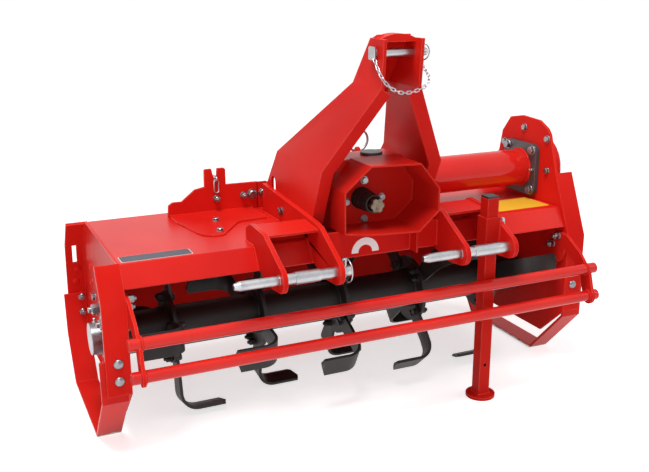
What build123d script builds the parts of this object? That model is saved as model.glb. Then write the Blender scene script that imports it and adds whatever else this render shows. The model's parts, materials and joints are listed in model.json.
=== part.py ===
"""Rotary tiller for a tractor's three point hitch, in millimetres.

X runs across the machine, Y from the hitch to the rear, Z up.  While the pieces are made,
X is 0 half way between the end plates, Y is 0 at the front top edge of the hood and Z is 0
on the ground.  The finished pieces are all moved by one shift, so that the origin lies on
the ground below the middle of the whole machine.
"""
from build123d import *
import math
import os

# ---------------------------------------------------------------- driving dimensions
inner_width = 1200.0        # clear width between the two end plates
end_plate_wall = 8.0
end_flange = 48.0           # edge of an end plate that is turned outwards
plate_bottom_z = 80.0       # lower edge of an end plate over the ground
hood_top = 460.0            # top of the hood over the ground
hood_depth = 421.0          # front top edge to rear edge
hood_drop = 8.0             # fall of the top towards the rear
hood_wall = 5.0
lip_reach = 31.0            # front lip, forward and down from the front top edge
lip_fall = 50.0
rear_fall = 12.0            # short rear lip over the tailgate hinge

rotor_y = 170.0
rotor_z = 225.0
rotor_tip_radius = 219.0
rotor_tube_radius = 52.0
rotor_end_gap = 14.0        # rotor tube to end plate
journal_radius = 20.0
journal_clearance = 0.05
journal_reach = 40.0        # how far a journal enters its bearing
journal_end_gap = 2.0
flange_count = 5
flange_margin = 140.0       # end plate to the middle of the nearest flange
flange_radius = 92.0
flange_wall = 10.0
blade_wall = 8.0
blade_reach = 125.0         # end of a wing from the middle of its flange
blade_shank = 60.0
blade_tip_width = 52.0
blade_bend = 38.0           # radius inside the bend
bend_flat_count = 5
blade_root_gap = 8.0        # end of a shank to the rotor tube
first_blade_angle = 78.0    # of the first flange's left blades, from upright towards the front
spiral_step = 20.0

drive_tube_y = rotor_y
drive_tube_z = 541.0
drive_tube_radius = 51.0
tube_collar_rim = 9.0
tube_collar_width = 12.0
tube_passage_gap = 3.0      # round the drive tube where it passes the mast and bracket
tube_flange_size = 146.0
tube_flange_wall = 14.0
tube_flange_corner = 22.0
drive_case_radius = 96.0
drive_case_depth = 62.0
drive_case_rim = 12.0       # foot of the drive case's cover
drive_case_rim_wall = 6.0
drive_case_bevel = 14.0
hub_radius = 56.0
hub_flange_wall = 12.0
hub_neck_radius = 40.0
hub_end_wall = 4.0

hitch_x = 24.0              # middle of the hitch and the mast
bracket_inner = 166.0       # bracket plates, middle of plate from the middle of the hitch
bracket_outer = 303.5
bracket_wall = 12.0
bracket_nose = 30.0
bracket_cover_wall = 6.0
bracket_rear = 312.0        # rear end of the tall plate
lower_pin_y = -155.0
lower_pin_z = 425.0
lower_pin_radius = 11.0
lower_pin_shank = 12.5      # radius inside the bracket plates
lower_pin_collar = 14.5
lower_pin_overhang = 104.0  # free end beyond the bracket plate
lower_pin_tip = 14.0        # length of the tapered end
lower_pin_point = 4.0       # fall of its radius
lower_pin_tail = 24.0
top_pin_y = -106.0
top_pin_z = 903.0
top_pin_radius = 9.5
top_pin_tab = 40.0
top_pin_tab_wall = 4.0
top_pin_tab_gap = 7.0       # tab to cheek
top_pin_tail = 24.0
mast_wall = 8.0
mast_gap = 86.0             # clear gap between the cheeks
mast_flange = 32.0          # front edge of a leg, turned inwards
mast_top = 32.0             # top of a cheek over the pin
mast_fold = 75.0            # upper fold below the pin
mast_knee_z = 635.0
mast_foot_z = 475.0
mast_slot = 30.0            # width of the arched slot in the left leg
head_wall = 8.0
head_crown = 10.0
clip_radius = 4.0
clip_bar = 1.8              # half of the ring's wire
clip_tail = 0.65            # end of a clip's shank below the pin, as a share of its ring
top_clip_ring = 19.0
lower_clip_ring = 27.0
pin_hole_clearance = 0.05
seat_gap = 0.1              # paint between bolted pieces

pto_x = -8.0                # power take-off, a little to the left of the hitch
pto_z = 549.0
pto_radius = 17.5
pto_spline_depth = 2.6
pto_spline_count = 6
pto_reach = 90.0
pto_depth = 60.0
boot_radius = 27.0
boot_tip_radius = 22.0
boot_reach = 72.0
boot_clearance = 1.5
guard_half_width = 114.0
guard_flat = 61.0           # half of the guard's top flat
guard_top = 650.0
guard_bevel = 64.0          # fall of the sloping sides
guard_side = 57.0           # height of the guard's vertical side
guard_bottom = 483.0
guard_reach = 130.0
guard_wall = 4.0
gearbox_half_width = 92.0
gearbox_front_depth = 95.0
gearbox_depth = 262.0
gearbox_top = 646.0
gearbox_rear_top = 604.0
gearbox_bevel = 12.0
gearbox_cover_radius = 28.0
gearbox_cover_wall = 8.0
ring_radius = 30.0
ring_bar = 3.5
ring_lug = 24.0
ring_lug_wall = 8.0

skid_width = 60.0
skid_wall = 8.0
skid_front_top = 250.0
rail_radius = 14.0
rail_upper = (-135.0, 322.0)
rail_lower = (-150.0, 252.0)
rail_overhang = 20.0
arm_wall = 8.0
arm_width = 38.0
arm_plate_radius = 45.0
arm_plate_place = (0.0, 348.0)
arm_nose_radius = 22.0

stand_size = 32.0
stand_wall = 3.0
stand_clearance = 0.5
sleeve_wall = 4.0
sleeve_height = 80.0
stand_y = -100.0
stand_top = 540.0
stand_cap_wall = 5.0
stand_hole_radius = 5.0
stand_hole_z = 92.0
foot_radius = 38.5
foot_wall = 8.0
stand_travel = 200.0

tailgate_wall = 4.0
tailgate_side_gap = 6.0
tailgate_pin_radius = 6.0
knuckle_radius = 11.0
knuckle_length = 80.0

holder_wall = 8.0
holder_top = 526.0
holder_tab_top = 574.0
holder_from_hitch = 288.0   # notch for the chain, left of the hitch
link_bar = 4.5              # tailgate chain, width of the bar
link_length = 40.0          # outside length of a link
link_width = 3.8            # width of a link in bars
link_corner = 0.7           # cut corner of a link in bars
top_link_bar = 3.0          # chain of the top pin
top_link_length = 17.0
link_gap = 0.4

round_flat_count = 24       # flats of a round outline
wire_flat_count = 14        # flats of a ring of wire
flat_depth = math.cos(math.pi / round_flat_count)   # middle of a flat, share of the radius

half = inner_width / 2.0
plate_out = half + end_plate_wall


# ---------------------------------------------------------------- small makers
def yz_face(points, x):
    """Flat face at one X from (y, z) points."""
    return Face(Wire.make_polygon([Vector(x, y, z) for y, z in points], close=True))


def across(points, x_from, x_to):
    """Solid with a (y, z) outline, from one X to another."""
    return extrude(yz_face(points, x_from), amount=x_to - x_from, dir=(1, 0, 0))


def along(points, y_from, y_to):
    """Solid with an (x, z) outline, from one Y to another."""
    face = Face(Wire.make_polygon([Vector(x, y_from, z) for x, z in points], close=True))
    return extrude(face, amount=y_to - y_from, dir=(0, 1, 0))


def upright(points, z_from, z_to):
    """Solid with an (x, y) outline, from one Z to another."""
    face = Face(Wire.make_polygon([Vector(x, y, z_from) for x, y in points], close=True))
    return extrude(face, amount=z_to - z_from, dir=(0, 0, 1))


def band_points(points, wall):
    """Outline of a bent strip: the line given, and its parallel at the wall's distance."""
    normals = []
    for (y0, z0), (y1, z1) in zip(points, points[1:]):
        length = math.hypot(y1 - y0, z1 - z0)
        normals.append(((z0 - z1) / length, (y1 - y0) / length))
    inner = []
    for index, (y, z) in enumerate(points):
        before = normals[max(index - 1, 0)]
        after = normals[min(index, len(normals) - 1)]
        share = 1.0 + before[0] * after[0] + before[1] * after[1]
        inner.append((y + wall * (before[0] + after[0]) / share,
                      z + wall * (before[1] + after[1]) / share))
    return list(points) + inner[::-1]


def band(points, wall, x_from, x_to):
    """Bent strip that runs across the machine from one X to another."""
    return across(band_points(points, wall), x_from, x_to)


def box(x_span, y_span, z_span):
    """Box between pairs of limits."""
    sizes = [high - low for low, high in (x_span, y_span, z_span)]
    middle = [(low + high) / 2.0 for low, high in (x_span, y_span, z_span)]
    return Pos(*middle) * Box(*sizes)


def rod_x(radius, x_from, x_to, y, z):
    """Round bar along X."""
    return Pos((x_from + x_to) / 2.0, y, z) * Rot(0, 90, 0) * Cylinder(radius, x_to - x_from)


def rod_y(radius, y_from, y_to, x, z):
    """Round bar along Y."""
    return Pos(x, (y_from + y_to) / 2.0, z) * Rot(90, 0, 0) * Cylinder(radius, y_to - y_from)


def rod_z(radius, z_from, z_to, x, y):
    """Round bar along Z."""
    return Pos(x, y, (z_from + z_to) / 2.0) * Cylinder(radius, z_to - z_from)


def ring_points(radius, y, z):
    """Corners of a round outline with flats, (y, z)."""
    turns = [2.0 * math.pi * index / round_flat_count for index in range(round_flat_count)]
    return [(y + radius * math.cos(turn), z + radius * math.sin(turn)) for turn in turns]


def disc_x(radius, x_from, x_to, y, z):
    """Round plate across X, its rim in flats."""
    return across(ring_points(radius, y, z), x_from, x_to)


def tapered(first, last):
    """Solid with flat sides between two outlines of like shape, each a list of points."""
    sides = [Face(Wire.make_polygon([a, b, d, c], close=True))
             for a, b, c, d in zip(first, first[1:] + first[:1], last, last[1:] + last[:1])]
    ends = [Face(Wire.make_polygon(outline, close=True)) for outline in (first, last)]
    return Solid(Shell(sides + ends))


def tapered_x(first, last, x_from, x_to):
    """Solid with flat sides between two (y, z) outlines of like shape."""
    return tapered([Vector(x_from, y, z) for y, z in first],
                   [Vector(x_to, y, z) for y, z in last])


def flat_turned(profile, y, z):
    """Turned solid with flats for its curves, from (x, radius) points."""
    body = None
    for (x_from, r_from), (x_to, r_to) in zip(profile, profile[1:]):
        if x_to > x_from and r_to == r_from:
            step = disc_x(r_from, x_from, x_to, y, z)
        elif x_to > x_from:
            step = tapered_x(ring_points(r_from, y, z), ring_points(r_to, y, z), x_from, x_to)
        else:
            continue
        body = step if body is None else body + step
    return body


def stepped(steps):
    """Profile of a turned bar: each step is where it starts and its radius; the last ends it."""
    profile = []
    for (x_from, radius), (x_to, _) in zip(steps, steps[1:]):
        profile += [(x_from, radius), (x_to, radius)]
    return profile


def flat_ring(radius, bar):
    """Ring of thick wire in the XY plane, with flats for its curves; bar is half the wire."""
    flats = [RegularPolygon(radius + grow, wire_flat_count) for grow in (bar, -bar)]
    ring = extrude(flats[0] - flats[1], amount=bar, both=True)
    rims = ring.edges().filter_by(lambda edge: abs(edge.center().Z) > bar * 0.9)
    return chamfer(rims, bar * 0.55)


def hood_z(y):
    """Height of the hood's upper face."""
    return hood_top - hood_drop * y / hood_depth


parts = {}

# ---------------------------------------------------------------- hood
hood_line = [(-lip_reach, hood_top - lip_fall), (0.0, hood_top),
             (hood_depth, hood_z(hood_depth)),
             (hood_depth + rear_fall / 2.0, hood_z(hood_depth) - rear_fall)]
parts["hood"] = across(band_points(hood_line, -hood_wall), -half, half)

# ---------------------------------------------------------------- end plates
plate_front = -48.0
front_knee = (plate_front, hood_top - 76.0)
front_low = (plate_front, plate_bottom_z + 88.0)
rear_edge_y = hood_depth + 4.0
rear_line = [(rear_edge_y, hood_top - 8.0), (rear_edge_y + 63.0, hood_top - 84.0),
             (rear_edge_y + 84.0, plate_bottom_z + 153.0),
             (rear_edge_y + 78.0, plate_bottom_z + 40.0)]
left_front = [(0.0, hood_top + 2.0), front_knee, front_low]
tower_front = rotor_y - 146.0
right_front = [(tower_front + 34.0, drive_tube_z + 108.0), (tower_front, drive_tube_z + 7.0),
               front_knee, front_low]
plate_bottom = [(45.0, plate_bottom_z), (rear_edge_y - 5.0, plate_bottom_z)]
# outline of the tower's head from the drive tube's axis, rear to front
tower_head = [(121.0, 29.0), (108.0, 90.0), (72.0, 134.0), (16.0, 145.0), (-63.0, 141.0),
              (-99.0, 123.0)]
drive_top = [(drive_tube_y + y, drive_tube_z + z) for y, z in tower_head]
# rear flange of the left plate: middle height and height of each opening, all of one width
rear_slots = [(348.0, 50.0), (267.0, 11.0), (132.0, 11.0)]
slot_width = 11.0


def end_plate(front, top, side):
    """End plate with its front and rear edges turned outwards; side is -1 or 1."""
    inside = side * half
    outside = side * plate_out
    edge = side * (plate_out + end_flange)
    flat = across(front + plate_bottom + rear_line[::-1] + top, inside, outside)
    front_edge = across(band_points(front[-3:], end_plate_wall), inside, edge)
    rear_edge = across(band_points(rear_line, -end_plate_wall), inside, edge)
    bearing_hole = rod_x(journal_radius + 10.0, min(inside, outside) - 1.0,
                         max(inside, outside) + 1.0, rotor_y, rotor_z)
    return flat + front_edge + rear_edge - bearing_hole


left_plate = end_plate(left_front, [], -1)
slot_x = -plate_out - end_flange / 2.0
for z, height in rear_slots:
    left_plate -= box((slot_x - slot_width / 2.0, slot_x + slot_width / 2.0),
                      (rear_edge_y + 30.0, rear_edge_y + 100.0),
                      (z - height / 2.0, z + height / 2.0))
parts["end_plate_left"] = left_plate
parts["end_plate_drive"] = end_plate(right_front, drive_top, 1)

# ---------------------------------------------------------------- skids
front_inside = plate_front + end_plate_wall
rear_inside = band_points(rear_line, -end_plate_wall)[len(rear_line):]
skid_line = [(front_inside, skid_front_top), (front_inside, plate_bottom_z + 68.0),
             (95.0, 0.0), (rear_edge_y - 17.0, 0.0), rear_inside[0], rear_inside[1]]
for name, side in (("left", -1), ("right", 1)):
    x_from, x_to = sorted((side * plate_out, side * (plate_out + skid_width)))
    parts["skid_" + name] = band(skid_line, skid_wall, x_from, x_to)

# ---------------------------------------------------------------- drive case and bearing


def case_outline(radius):
    """Slot-shaped outline round the drive tube's axis and the rotor's, (y, z)."""
    top = [(y, z) for y, z in ring_points(radius, 0.0, 0.0) if z > -0.001]
    return ([(rotor_y + y, drive_tube_z + z) for y, z in top]
            + [(rotor_y - y, rotor_z - z) for y, z in top])


case_shoulder = plate_out + drive_case_depth - drive_case_bevel
case_body = (across(case_outline(drive_case_radius), plate_out, case_shoulder)
             + tapered_x(case_outline(drive_case_radius),
                         case_outline(drive_case_radius - drive_case_bevel),
                         case_shoulder, plate_out + drive_case_depth))
case_foot = across(case_outline(drive_case_radius + drive_case_rim), plate_out,
                   plate_out + drive_case_rim_wall)
journal_hole = journal_radius + journal_clearance
journal_pocket = journal_reach + journal_end_gap
parts["drive_case"] = (case_body + case_foot
                       - rod_x(journal_hole, plate_out, plate_out + journal_pocket,
                               rotor_y, rotor_z))
hub_profile = stepped([(-plate_out - journal_pocket - hub_end_wall, hub_neck_radius),
                       (-plate_out - hub_flange_wall, hub_radius), (-plate_out, 0.0)])
parts["bearing_hub"] = (flat_turned(hub_profile, rotor_y, rotor_z)
                        - rod_x(journal_hole, -plate_out - journal_pocket, -plate_out,
                                rotor_y, rotor_z))

# ---------------------------------------------------------------- rotor
rotor_half = half - rotor_end_gap
flange_pitch = (inner_width - 2.0 * flange_margin) / (flange_count - 1)
journal_end = plate_out + journal_reach
flange_span = flange_pitch * (flange_count - 1)
flange_places = [index * flange_pitch - flange_span / 2.0 for index in range(flange_count)]
shaft_steps = [(-journal_end, journal_radius), (-rotor_half, rotor_tube_radius)]
for x in flange_places:
    shaft_steps += [(x - flange_wall / 2.0, flange_radius),
                    (x + flange_wall / 2.0, rotor_tube_radius)]
shaft_steps += [(rotor_half, journal_radius), (journal_end, 0.0)]
parts["rotor_shaft"] = flat_turned(stepped(shaft_steps), rotor_y, rotor_z)

# one blade, upright above the axis: the shank lies on the right face of its flange and swells
# from the root to the bend, where the strip is bent through a right angle into the wing
blade_inside = flange_wall / 2.0 + seat_gap
blade_root = rotor_tube_radius + blade_root_gap
blade_top = math.sqrt(rotor_tip_radius ** 2 - (blade_shank / 2.0) ** 2)
bend_outside = blade_bend + blade_wall
wing_from = blade_inside + bend_outside


def bend_quarter(radius):
    """Solid quarter of a bar along Y with flats, at the blade's bend."""
    turns = [math.pi / 2.0 * index / bend_flat_count for index in range(bend_flat_count + 1)]
    arc = [(wing_from - radius * math.cos(turn), blade_top - bend_outside + radius * math.sin(turn))
           for turn in turns]
    return along(arc + [(wing_from, blade_top - bend_outside)], -blade_shank, blade_shank)


shank_strip = box((blade_inside, blade_inside + blade_wall), (-blade_shank, blade_shank),
                  (blade_root, blade_top - bend_outside))
wing_strip = box((wing_from, blade_reach), (-blade_shank, blade_shank),
                 (blade_top - blade_wall, blade_top))
bent_strip = shank_strip + (bend_quarter(bend_outside) - bend_quarter(blade_bend)) + wing_strip
# side view: swept back a little at the root, the cutting edge towards -Y
blade_side = [(-16.0, blade_root), (24.0, blade_root), (30.0, blade_root + 66.0),
              (blade_shank / 2.0, blade_top + 1.0), (-blade_shank / 2.0, blade_top + 1.0),
              (-22.0, blade_root + 60.0)]
# view from the tip: the wing's end is cut on the slant
blade_plan = [(0.0, -blade_shank / 2.0), (blade_reach - 14.0, -blade_shank / 2.0),
              (blade_reach, blade_tip_width - blade_shank / 2.0 - 6.0),
              (blade_reach - 6.0, blade_shank / 2.0), (0.0, blade_shank / 2.0)]
blade_right = (bent_strip & across(blade_side, 0.0, blade_reach)
               & upright(blade_plan, 0.0, rotor_tip_radius))
blade_left = mirror(blade_right, about=Plane.YZ)
for index, x in enumerate(flange_places):
    pieces = []
    for shape, offset_angle in ((blade_left, 0.0), (blade_right, 90.0)):
        for turn in (0.0, 180.0):
            angle = first_blade_angle + index * spiral_step + offset_angle + turn
            pieces.append(Pos(x, rotor_y, rotor_z) * Rot(angle, 0, 0) * shape)
    parts["blades_%d" % (index + 1)] = Compound(children=pieces)

# ---------------------------------------------------------------- gearbox and drive tube
gearbox_x = (hitch_x - gearbox_half_width, hitch_x + gearbox_half_width)
front_housing = box(gearbox_x, (0.0, gearbox_front_depth), (hood_top, gearbox_top))
front_housing = chamfer(front_housing.edges().filter_by(Axis.Y).group_by(Axis.Z)[-1],
                        gearbox_bevel)
rear_housing = box(gearbox_x, (gearbox_front_depth, gearbox_depth), (hood_top, gearbox_rear_top))
rear_housing = chamfer(rear_housing.edges().filter_by(Axis.Y).group_by(Axis.Z)[-1],
                       gearbox_bevel)
parts["gearbox"] = (front_housing + rear_housing
                    - rod_y(pto_radius + journal_clearance, -1.0, pto_depth + 1.0, pto_x, pto_z))
cover_y = gearbox_front_depth / 2.0 - 11.0
parts["gearbox_cover"] = upright(ring_points(gearbox_cover_radius, hitch_x + 14.0, cover_y),
                                 gearbox_top, gearbox_top + gearbox_cover_wall)
tube_start = hitch_x + gearbox_half_width
tube_end = half - tube_flange_wall
collar_from = hitch_x + bracket_inner + bracket_wall
parts["drive_tube"] = flat_turned(stepped([
    (tube_start, drive_tube_radius), (collar_from, drive_tube_radius + tube_collar_rim),
    (collar_from + tube_collar_width, drive_tube_radius), (tube_end, 0.0)]),
    drive_tube_y, drive_tube_z)
tube_passage = rod_x(drive_tube_radius + tube_passage_gap, tube_start + 1.0, collar_from,
                     drive_tube_y, drive_tube_z)
flange_plane = Plane(origin=(tube_end, drive_tube_y, drive_tube_z), x_dir=(0, 1, 0),
                     z_dir=(1, 0, 0))
parts["tube_flange"] = extrude(
    flange_plane * RectangleRounded(tube_flange_size, tube_flange_size, tube_flange_corner),
    amount=tube_flange_wall)

# ---------------------------------------------------------------- lifting ring on the gearbox
ring_x = gearbox_x[1] - 20.0
ring_y = gearbox_depth - 32.0
eye_z = gearbox_rear_top + ring_lug / 2.0
ring_z = eye_z + ring_radius
lug = (box((ring_x - ring_lug_wall / 2.0, ring_x + ring_lug_wall / 2.0),
           (ring_y - ring_lug / 2.0, ring_y + ring_lug / 2.0), (gearbox_rear_top, eye_z))
       + disc_x(ring_lug / 2.0, ring_x - ring_lug_wall / 2.0, ring_x + ring_lug_wall / 2.0,
                ring_y, eye_z)
       - rod_x(ring_bar * 1.3, ring_x - ring_lug, ring_x + ring_lug, ring_y, eye_z))
parts["ring_lug"] = lug
parts["lifting_ring"] = (Pos(ring_x, ring_y, ring_z) * Rot(90, 0, 0)
                         * flat_ring(ring_radius, ring_bar))

# ---------------------------------------------------------------- PTO shaft, boot and guard
shaft_blank = rod_y(pto_radius, -pto_reach, pto_depth, pto_x, pto_z)
for index in range(pto_spline_count):
    groove = box((-3.5, 3.5), (-pto_reach - 1.0, -boot_reach + 30.0),
                 (pto_radius - pto_spline_depth, pto_radius + 2.0))
    shaft_blank -= Pos(pto_x, 0, pto_z) * Rot(0, index * 360.0 / pto_spline_count, 0) * groove
parts["pto_shaft"] = shaft_blank
boot_bore = (pto_radius + boot_clearance) / flat_depth     # its flats clear the shaft


def boot_ring(radius, y):
    """Corners of a round outline with flats round the shaft, at one Y."""
    return [Vector(pto_x + x, y, pto_z + z) for x, z in ring_points(radius, 0.0, 0.0)]


parts["shaft_boot"] = (
    tapered(boot_ring(boot_radius, 0.0), boot_ring(boot_tip_radius, -boot_reach))
    - tapered(boot_ring(boot_bore, 1.0), boot_ring(boot_bore, -boot_reach - 1.0)))

guard_outline = [(-guard_flat, guard_top), (guard_flat, guard_top),
                 (guard_half_width, guard_top - guard_bevel),
                 (guard_half_width, guard_top - guard_bevel - guard_side),
                 (guard_flat, guard_bottom), (-guard_half_width, guard_bottom),
                 (-guard_half_width, guard_top - guard_bevel)]
guard_face = Face(Wire.make_polygon([Vector(hitch_x + x, -guard_reach, z)
                                     for x, z in guard_outline], close=True))
guard_inner = offset(guard_face, amount=-guard_wall, kind=Kind.INTERSECTION)
# the mouth is cut back on the left: (x from the hitch, y)
guard_mouth = [(guard_flat, -guard_reach), (-guard_flat, -guard_reach + 20.0),
               (-guard_half_width, -guard_reach + 50.0)]
mouth_cut = upright([(hitch_x + x, y) for x, y in guard_mouth]
                    + [(hitch_x - guard_half_width - 1.0, -guard_reach + 50.0),
                       (hitch_x - guard_half_width - 1.0, -guard_reach - 1.0),
                       (hitch_x + guard_flat, -guard_reach - 1.0)],
                    guard_bottom - 1.0, guard_top + 1.0)
parts["pto_guard"] = (extrude(guard_face, amount=guard_reach, dir=(0, 1, 0))
                      - extrude(guard_inner, amount=guard_reach - guard_wall, dir=(0, 1, 0))
                      - rod_y(boot_radius + 1.0, -guard_wall - 1.0, 1.0, pto_x, pto_z)
                      - mouth_cut)

# ---------------------------------------------------------------- hitch brackets
pin_hole = lower_pin_shank + pin_hole_clearance
nose = [(lower_pin_y - 20.0, lower_pin_z + 22.0), (lower_pin_y, lower_pin_z - bracket_nose),
        (-96.0, hood_top - 70.0), (-lip_reach, hood_top - lip_fall), (0.0, hood_top)]
inner_outline = [(bracket_rear, hood_z(bracket_rear)), (bracket_rear, hood_top + 73.0),
                 (-39.0, hood_top + 52.0), (-66.0, hood_top + 47.0)] + nose
outer_outline = [(60.0, hood_z(60.0)), (60.0, hood_top + 30.0), (29.0, hood_top + 48.0),
                 (-62.0, hood_top + 44.0)] + nose


def bracket_plate(outline, x):
    """Bracket plate with a round nose round the lower pin."""
    x_from = x - bracket_wall / 2.0
    x_to = x + bracket_wall / 2.0
    return (across(outline, x_from, x_to)
            + disc_x(bracket_nose, x_from, x_to, lower_pin_y, lower_pin_z)
            - rod_x(pin_hole, x_from - 1.0, x_to + 1.0, lower_pin_y, lower_pin_z))


# the cover turns down at the rear as a cross sheet between the two plates
cover_line = [(29.0, hood_z(0.0)), (29.0, hood_top + 44.0), (-60.0, hood_top + 40.0)]
brackets = {
    "left": (hitch_x - bracket_outer, outer_outline, hitch_x - bracket_inner, inner_outline),
    "right": (hitch_x + bracket_inner, inner_outline, hitch_x + bracket_outer, outer_outline)}
for name, (x_first, first, x_second, second) in brackets.items():
    cover = band(cover_line, bracket_cover_wall, x_first, x_second)
    parts["hitch_bracket_" + name] = (bracket_plate(first, x_first)
                                      + bracket_plate(second, x_second) + cover
                                      - tube_passage)
    face_first = x_first - bracket_wall / 2.0
    x_free = face_first - lower_pin_overhang
    collar_start = face_first + bracket_wall + 26.0
    plate_inside = x_second - bracket_wall / 2.0 - seat_gap
    tip = tapered_x(ring_points(lower_pin_radius - lower_pin_point, lower_pin_y, lower_pin_z),
                    ring_points(lower_pin_radius, lower_pin_y, lower_pin_z),
                    x_free, x_free + lower_pin_tip)
    pin_profile = stepped([(face_first, lower_pin_shank), (collar_start, 0.0)])
    if name == "left":
        # a collar, then a shank that passes the plate and takes the clip
        lower_clip_x = plate_inside + seat_gap + bracket_wall + lower_pin_tail / 2.0
        pin_profile += stepped([(collar_start, lower_pin_collar),
                                (plate_inside - 40.0, lower_pin_shank),
                                (lower_clip_x + lower_pin_tail / 2.0, 0.0)])
    else:
        # a thick part that tapers to the second plate, where the pin ends flush
        pin_profile += [(collar_start, lower_pin_collar), (plate_inside - 24.0,
                        lower_pin_collar), (plate_inside, lower_pin_shank),
                        (plate_inside + seat_gap + bracket_wall, lower_pin_shank)]
    free_end = rod_x if name == "left" else disc_x
    parts["lower_pin_" + name] = (
        tip + free_end(lower_pin_radius, x_free + lower_pin_tip, face_first, lower_pin_y,
                       lower_pin_z) + flat_turned(pin_profile, lower_pin_y, lower_pin_z))
parts["lower_pin_left"] -= rod_z(clip_radius + pin_hole_clearance,
                                 lower_pin_z - lower_pin_collar,
                                 lower_pin_z + lower_pin_collar, lower_clip_x, lower_pin_y)

# front sheet below the guard, with a rib that carries the guard's right side
sheet_wall = 6.0
sheet_front = -lip_reach - 14.0
sheet_z = (hood_top - 45.0, guard_bottom - seat_gap)
rib_x = hitch_x + 82.0
parts["front_plate"] = (
    box((hitch_x - bracket_inner + bracket_wall / 2.0,
         hitch_x + bracket_inner - bracket_wall / 2.0),
        (sheet_front, sheet_front + sheet_wall), sheet_z)
    + box((rib_x, rib_x + sheet_wall), (sheet_front - 34.0, sheet_front), sheet_z))

# ---------------------------------------------------------------- mast
cheek_out = mast_gap / 2.0 + mast_wall
foot_out = bracket_inner - bracket_wall / 2.0
mast_fold_z = top_pin_z - mast_fold
mast_top_z = top_pin_z + mast_top
# a leg from foot to top: height, outer face from the middle, front edge, rear edge
mast_table = [(mast_foot_z, foot_out, 20.0, 360.0), (mast_knee_z, foot_out, -55.0, 230.0),
              (mast_fold_z, cheek_out, top_pin_y - 30.0, top_pin_y + 116.0),
              (mast_top_z, cheek_out, top_pin_y - 40.0, top_pin_y + 28.0)]
leg_outline = ([(front, z) for z, _, front, _ in mast_table]
               + [(rear, z) for z, _, _, rear in mast_table[::-1]])
leg_bend = [(out, z) for z, out, _, _ in mast_table]
leg_front = [(front, z) for z, _, front, _ in mast_table[:3]]
leg_span = (leg_outline[3][0] - 1.0, leg_outline[-1][0] + 1.0)
slot_y = 262.0
slot_low = mast_foot_z + 12.0
slot_spring = mast_foot_z + 72.0


def mast_leg(side):
    """Bent leg of the mast, its front edge turned towards the middle."""
    bend = [(hitch_x + side * out, z) for out, z in leg_bend]
    plate = (along(band_points(bend, side * mast_wall), *leg_span)
             & across(leg_outline, hitch_x - foot_out - 1.0, hitch_x + foot_out + 1.0))
    edge = (along(band_points(bend[:3], side * mast_flange), *leg_span)
            & across(band_points(leg_front, -mast_wall), hitch_x - foot_out - 1.0,
                     hitch_x + foot_out + 1.0))
    hole = rod_x(top_pin_radius + pin_hole_clearance, hitch_x - cheek_out - 1.0,
                 hitch_x + cheek_out + 1.0, top_pin_y, top_pin_z)
    return plate + edge - hole - tube_passage


arch = (box((hitch_x - foot_out - 1.0, hitch_x - foot_out + mast_wall + 1.0),
            (slot_y - mast_slot / 2.0, slot_y + mast_slot / 2.0), (slot_low, slot_spring))
        + rod_x(mast_slot / 2.0, hitch_x - foot_out - 1.0, hitch_x - foot_out + mast_wall + 1.0,
                slot_y, slot_spring))
parts["mast_left"] = mast_leg(-1) - arch
parts["mast_right"] = mast_leg(1)

# head: sheet between the cheeks along their rear edges, with a crowned top
head_line = [(top_pin_y + 114.0, mast_fold_z - 28.0), (top_pin_y + 114.0, mast_fold_z),
             (top_pin_y + 36.0, mast_top_z - 10.0), (top_pin_y + 8.0, mast_top_z)]
head_left = hitch_x - mast_gap / 2.0
head_right = hitch_x + mast_gap / 2.0
crown_radius = (mast_gap ** 2 / 4.0 + head_crown ** 2) / (2.0 * head_crown)
head_notch = 24.0
head = (band(head_line, -head_wall, head_left, head_right)
        - box((hitch_x + 2.0, hitch_x + 2.0 + head_notch),
              (top_pin_y + 90.0, top_pin_y + 130.0),
              (mast_fold_z - 29.0, mast_fold_z - 10.0)))
crown_span = (top_pin_y - 12.0, top_pin_y + 24.0)
crown = (rod_y(crown_radius, *crown_span, hitch_x, mast_top_z + head_crown - crown_radius)
         & box((head_left, head_right), crown_span,
               (mast_top_z - head_wall, mast_top_z + head_crown)))
parts["mast_head"] = head + crown

tab_from = hitch_x - cheek_out - top_pin_tab_gap - top_pin_tab_wall
tab_middle = tab_from + top_pin_tab_wall / 2.0 - hitch_x
tab_eye = 5.0 - top_pin_tab / 2.0
tab = (box((tab_from, tab_from + top_pin_tab_wall),
           (top_pin_y - top_pin_tab / 2.0, top_pin_y + top_pin_tab / 2.0),
           (top_pin_z - top_pin_tab / 2.0, top_pin_z + top_pin_tab / 2.0))
       - rod_x(top_link_bar * 0.9, tab_from - 1.0, tab_from + top_pin_tab_wall + 1.0,
               top_pin_y + tab_eye, top_pin_z + tab_eye))
top_clip_x = hitch_x + cheek_out + 2.5 * clip_radius
clip_hole = clip_radius + pin_hole_clearance
parts["top_link_pin"] = (disc_x(top_pin_radius, tab_from, hitch_x + cheek_out + top_pin_tail,
                                top_pin_y, top_pin_z) + tab
                         - rod_z(clip_hole, top_pin_z - top_pin_radius - 1.0,
                                 top_pin_z + top_pin_radius + 1.0, top_clip_x, top_pin_y))

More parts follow.
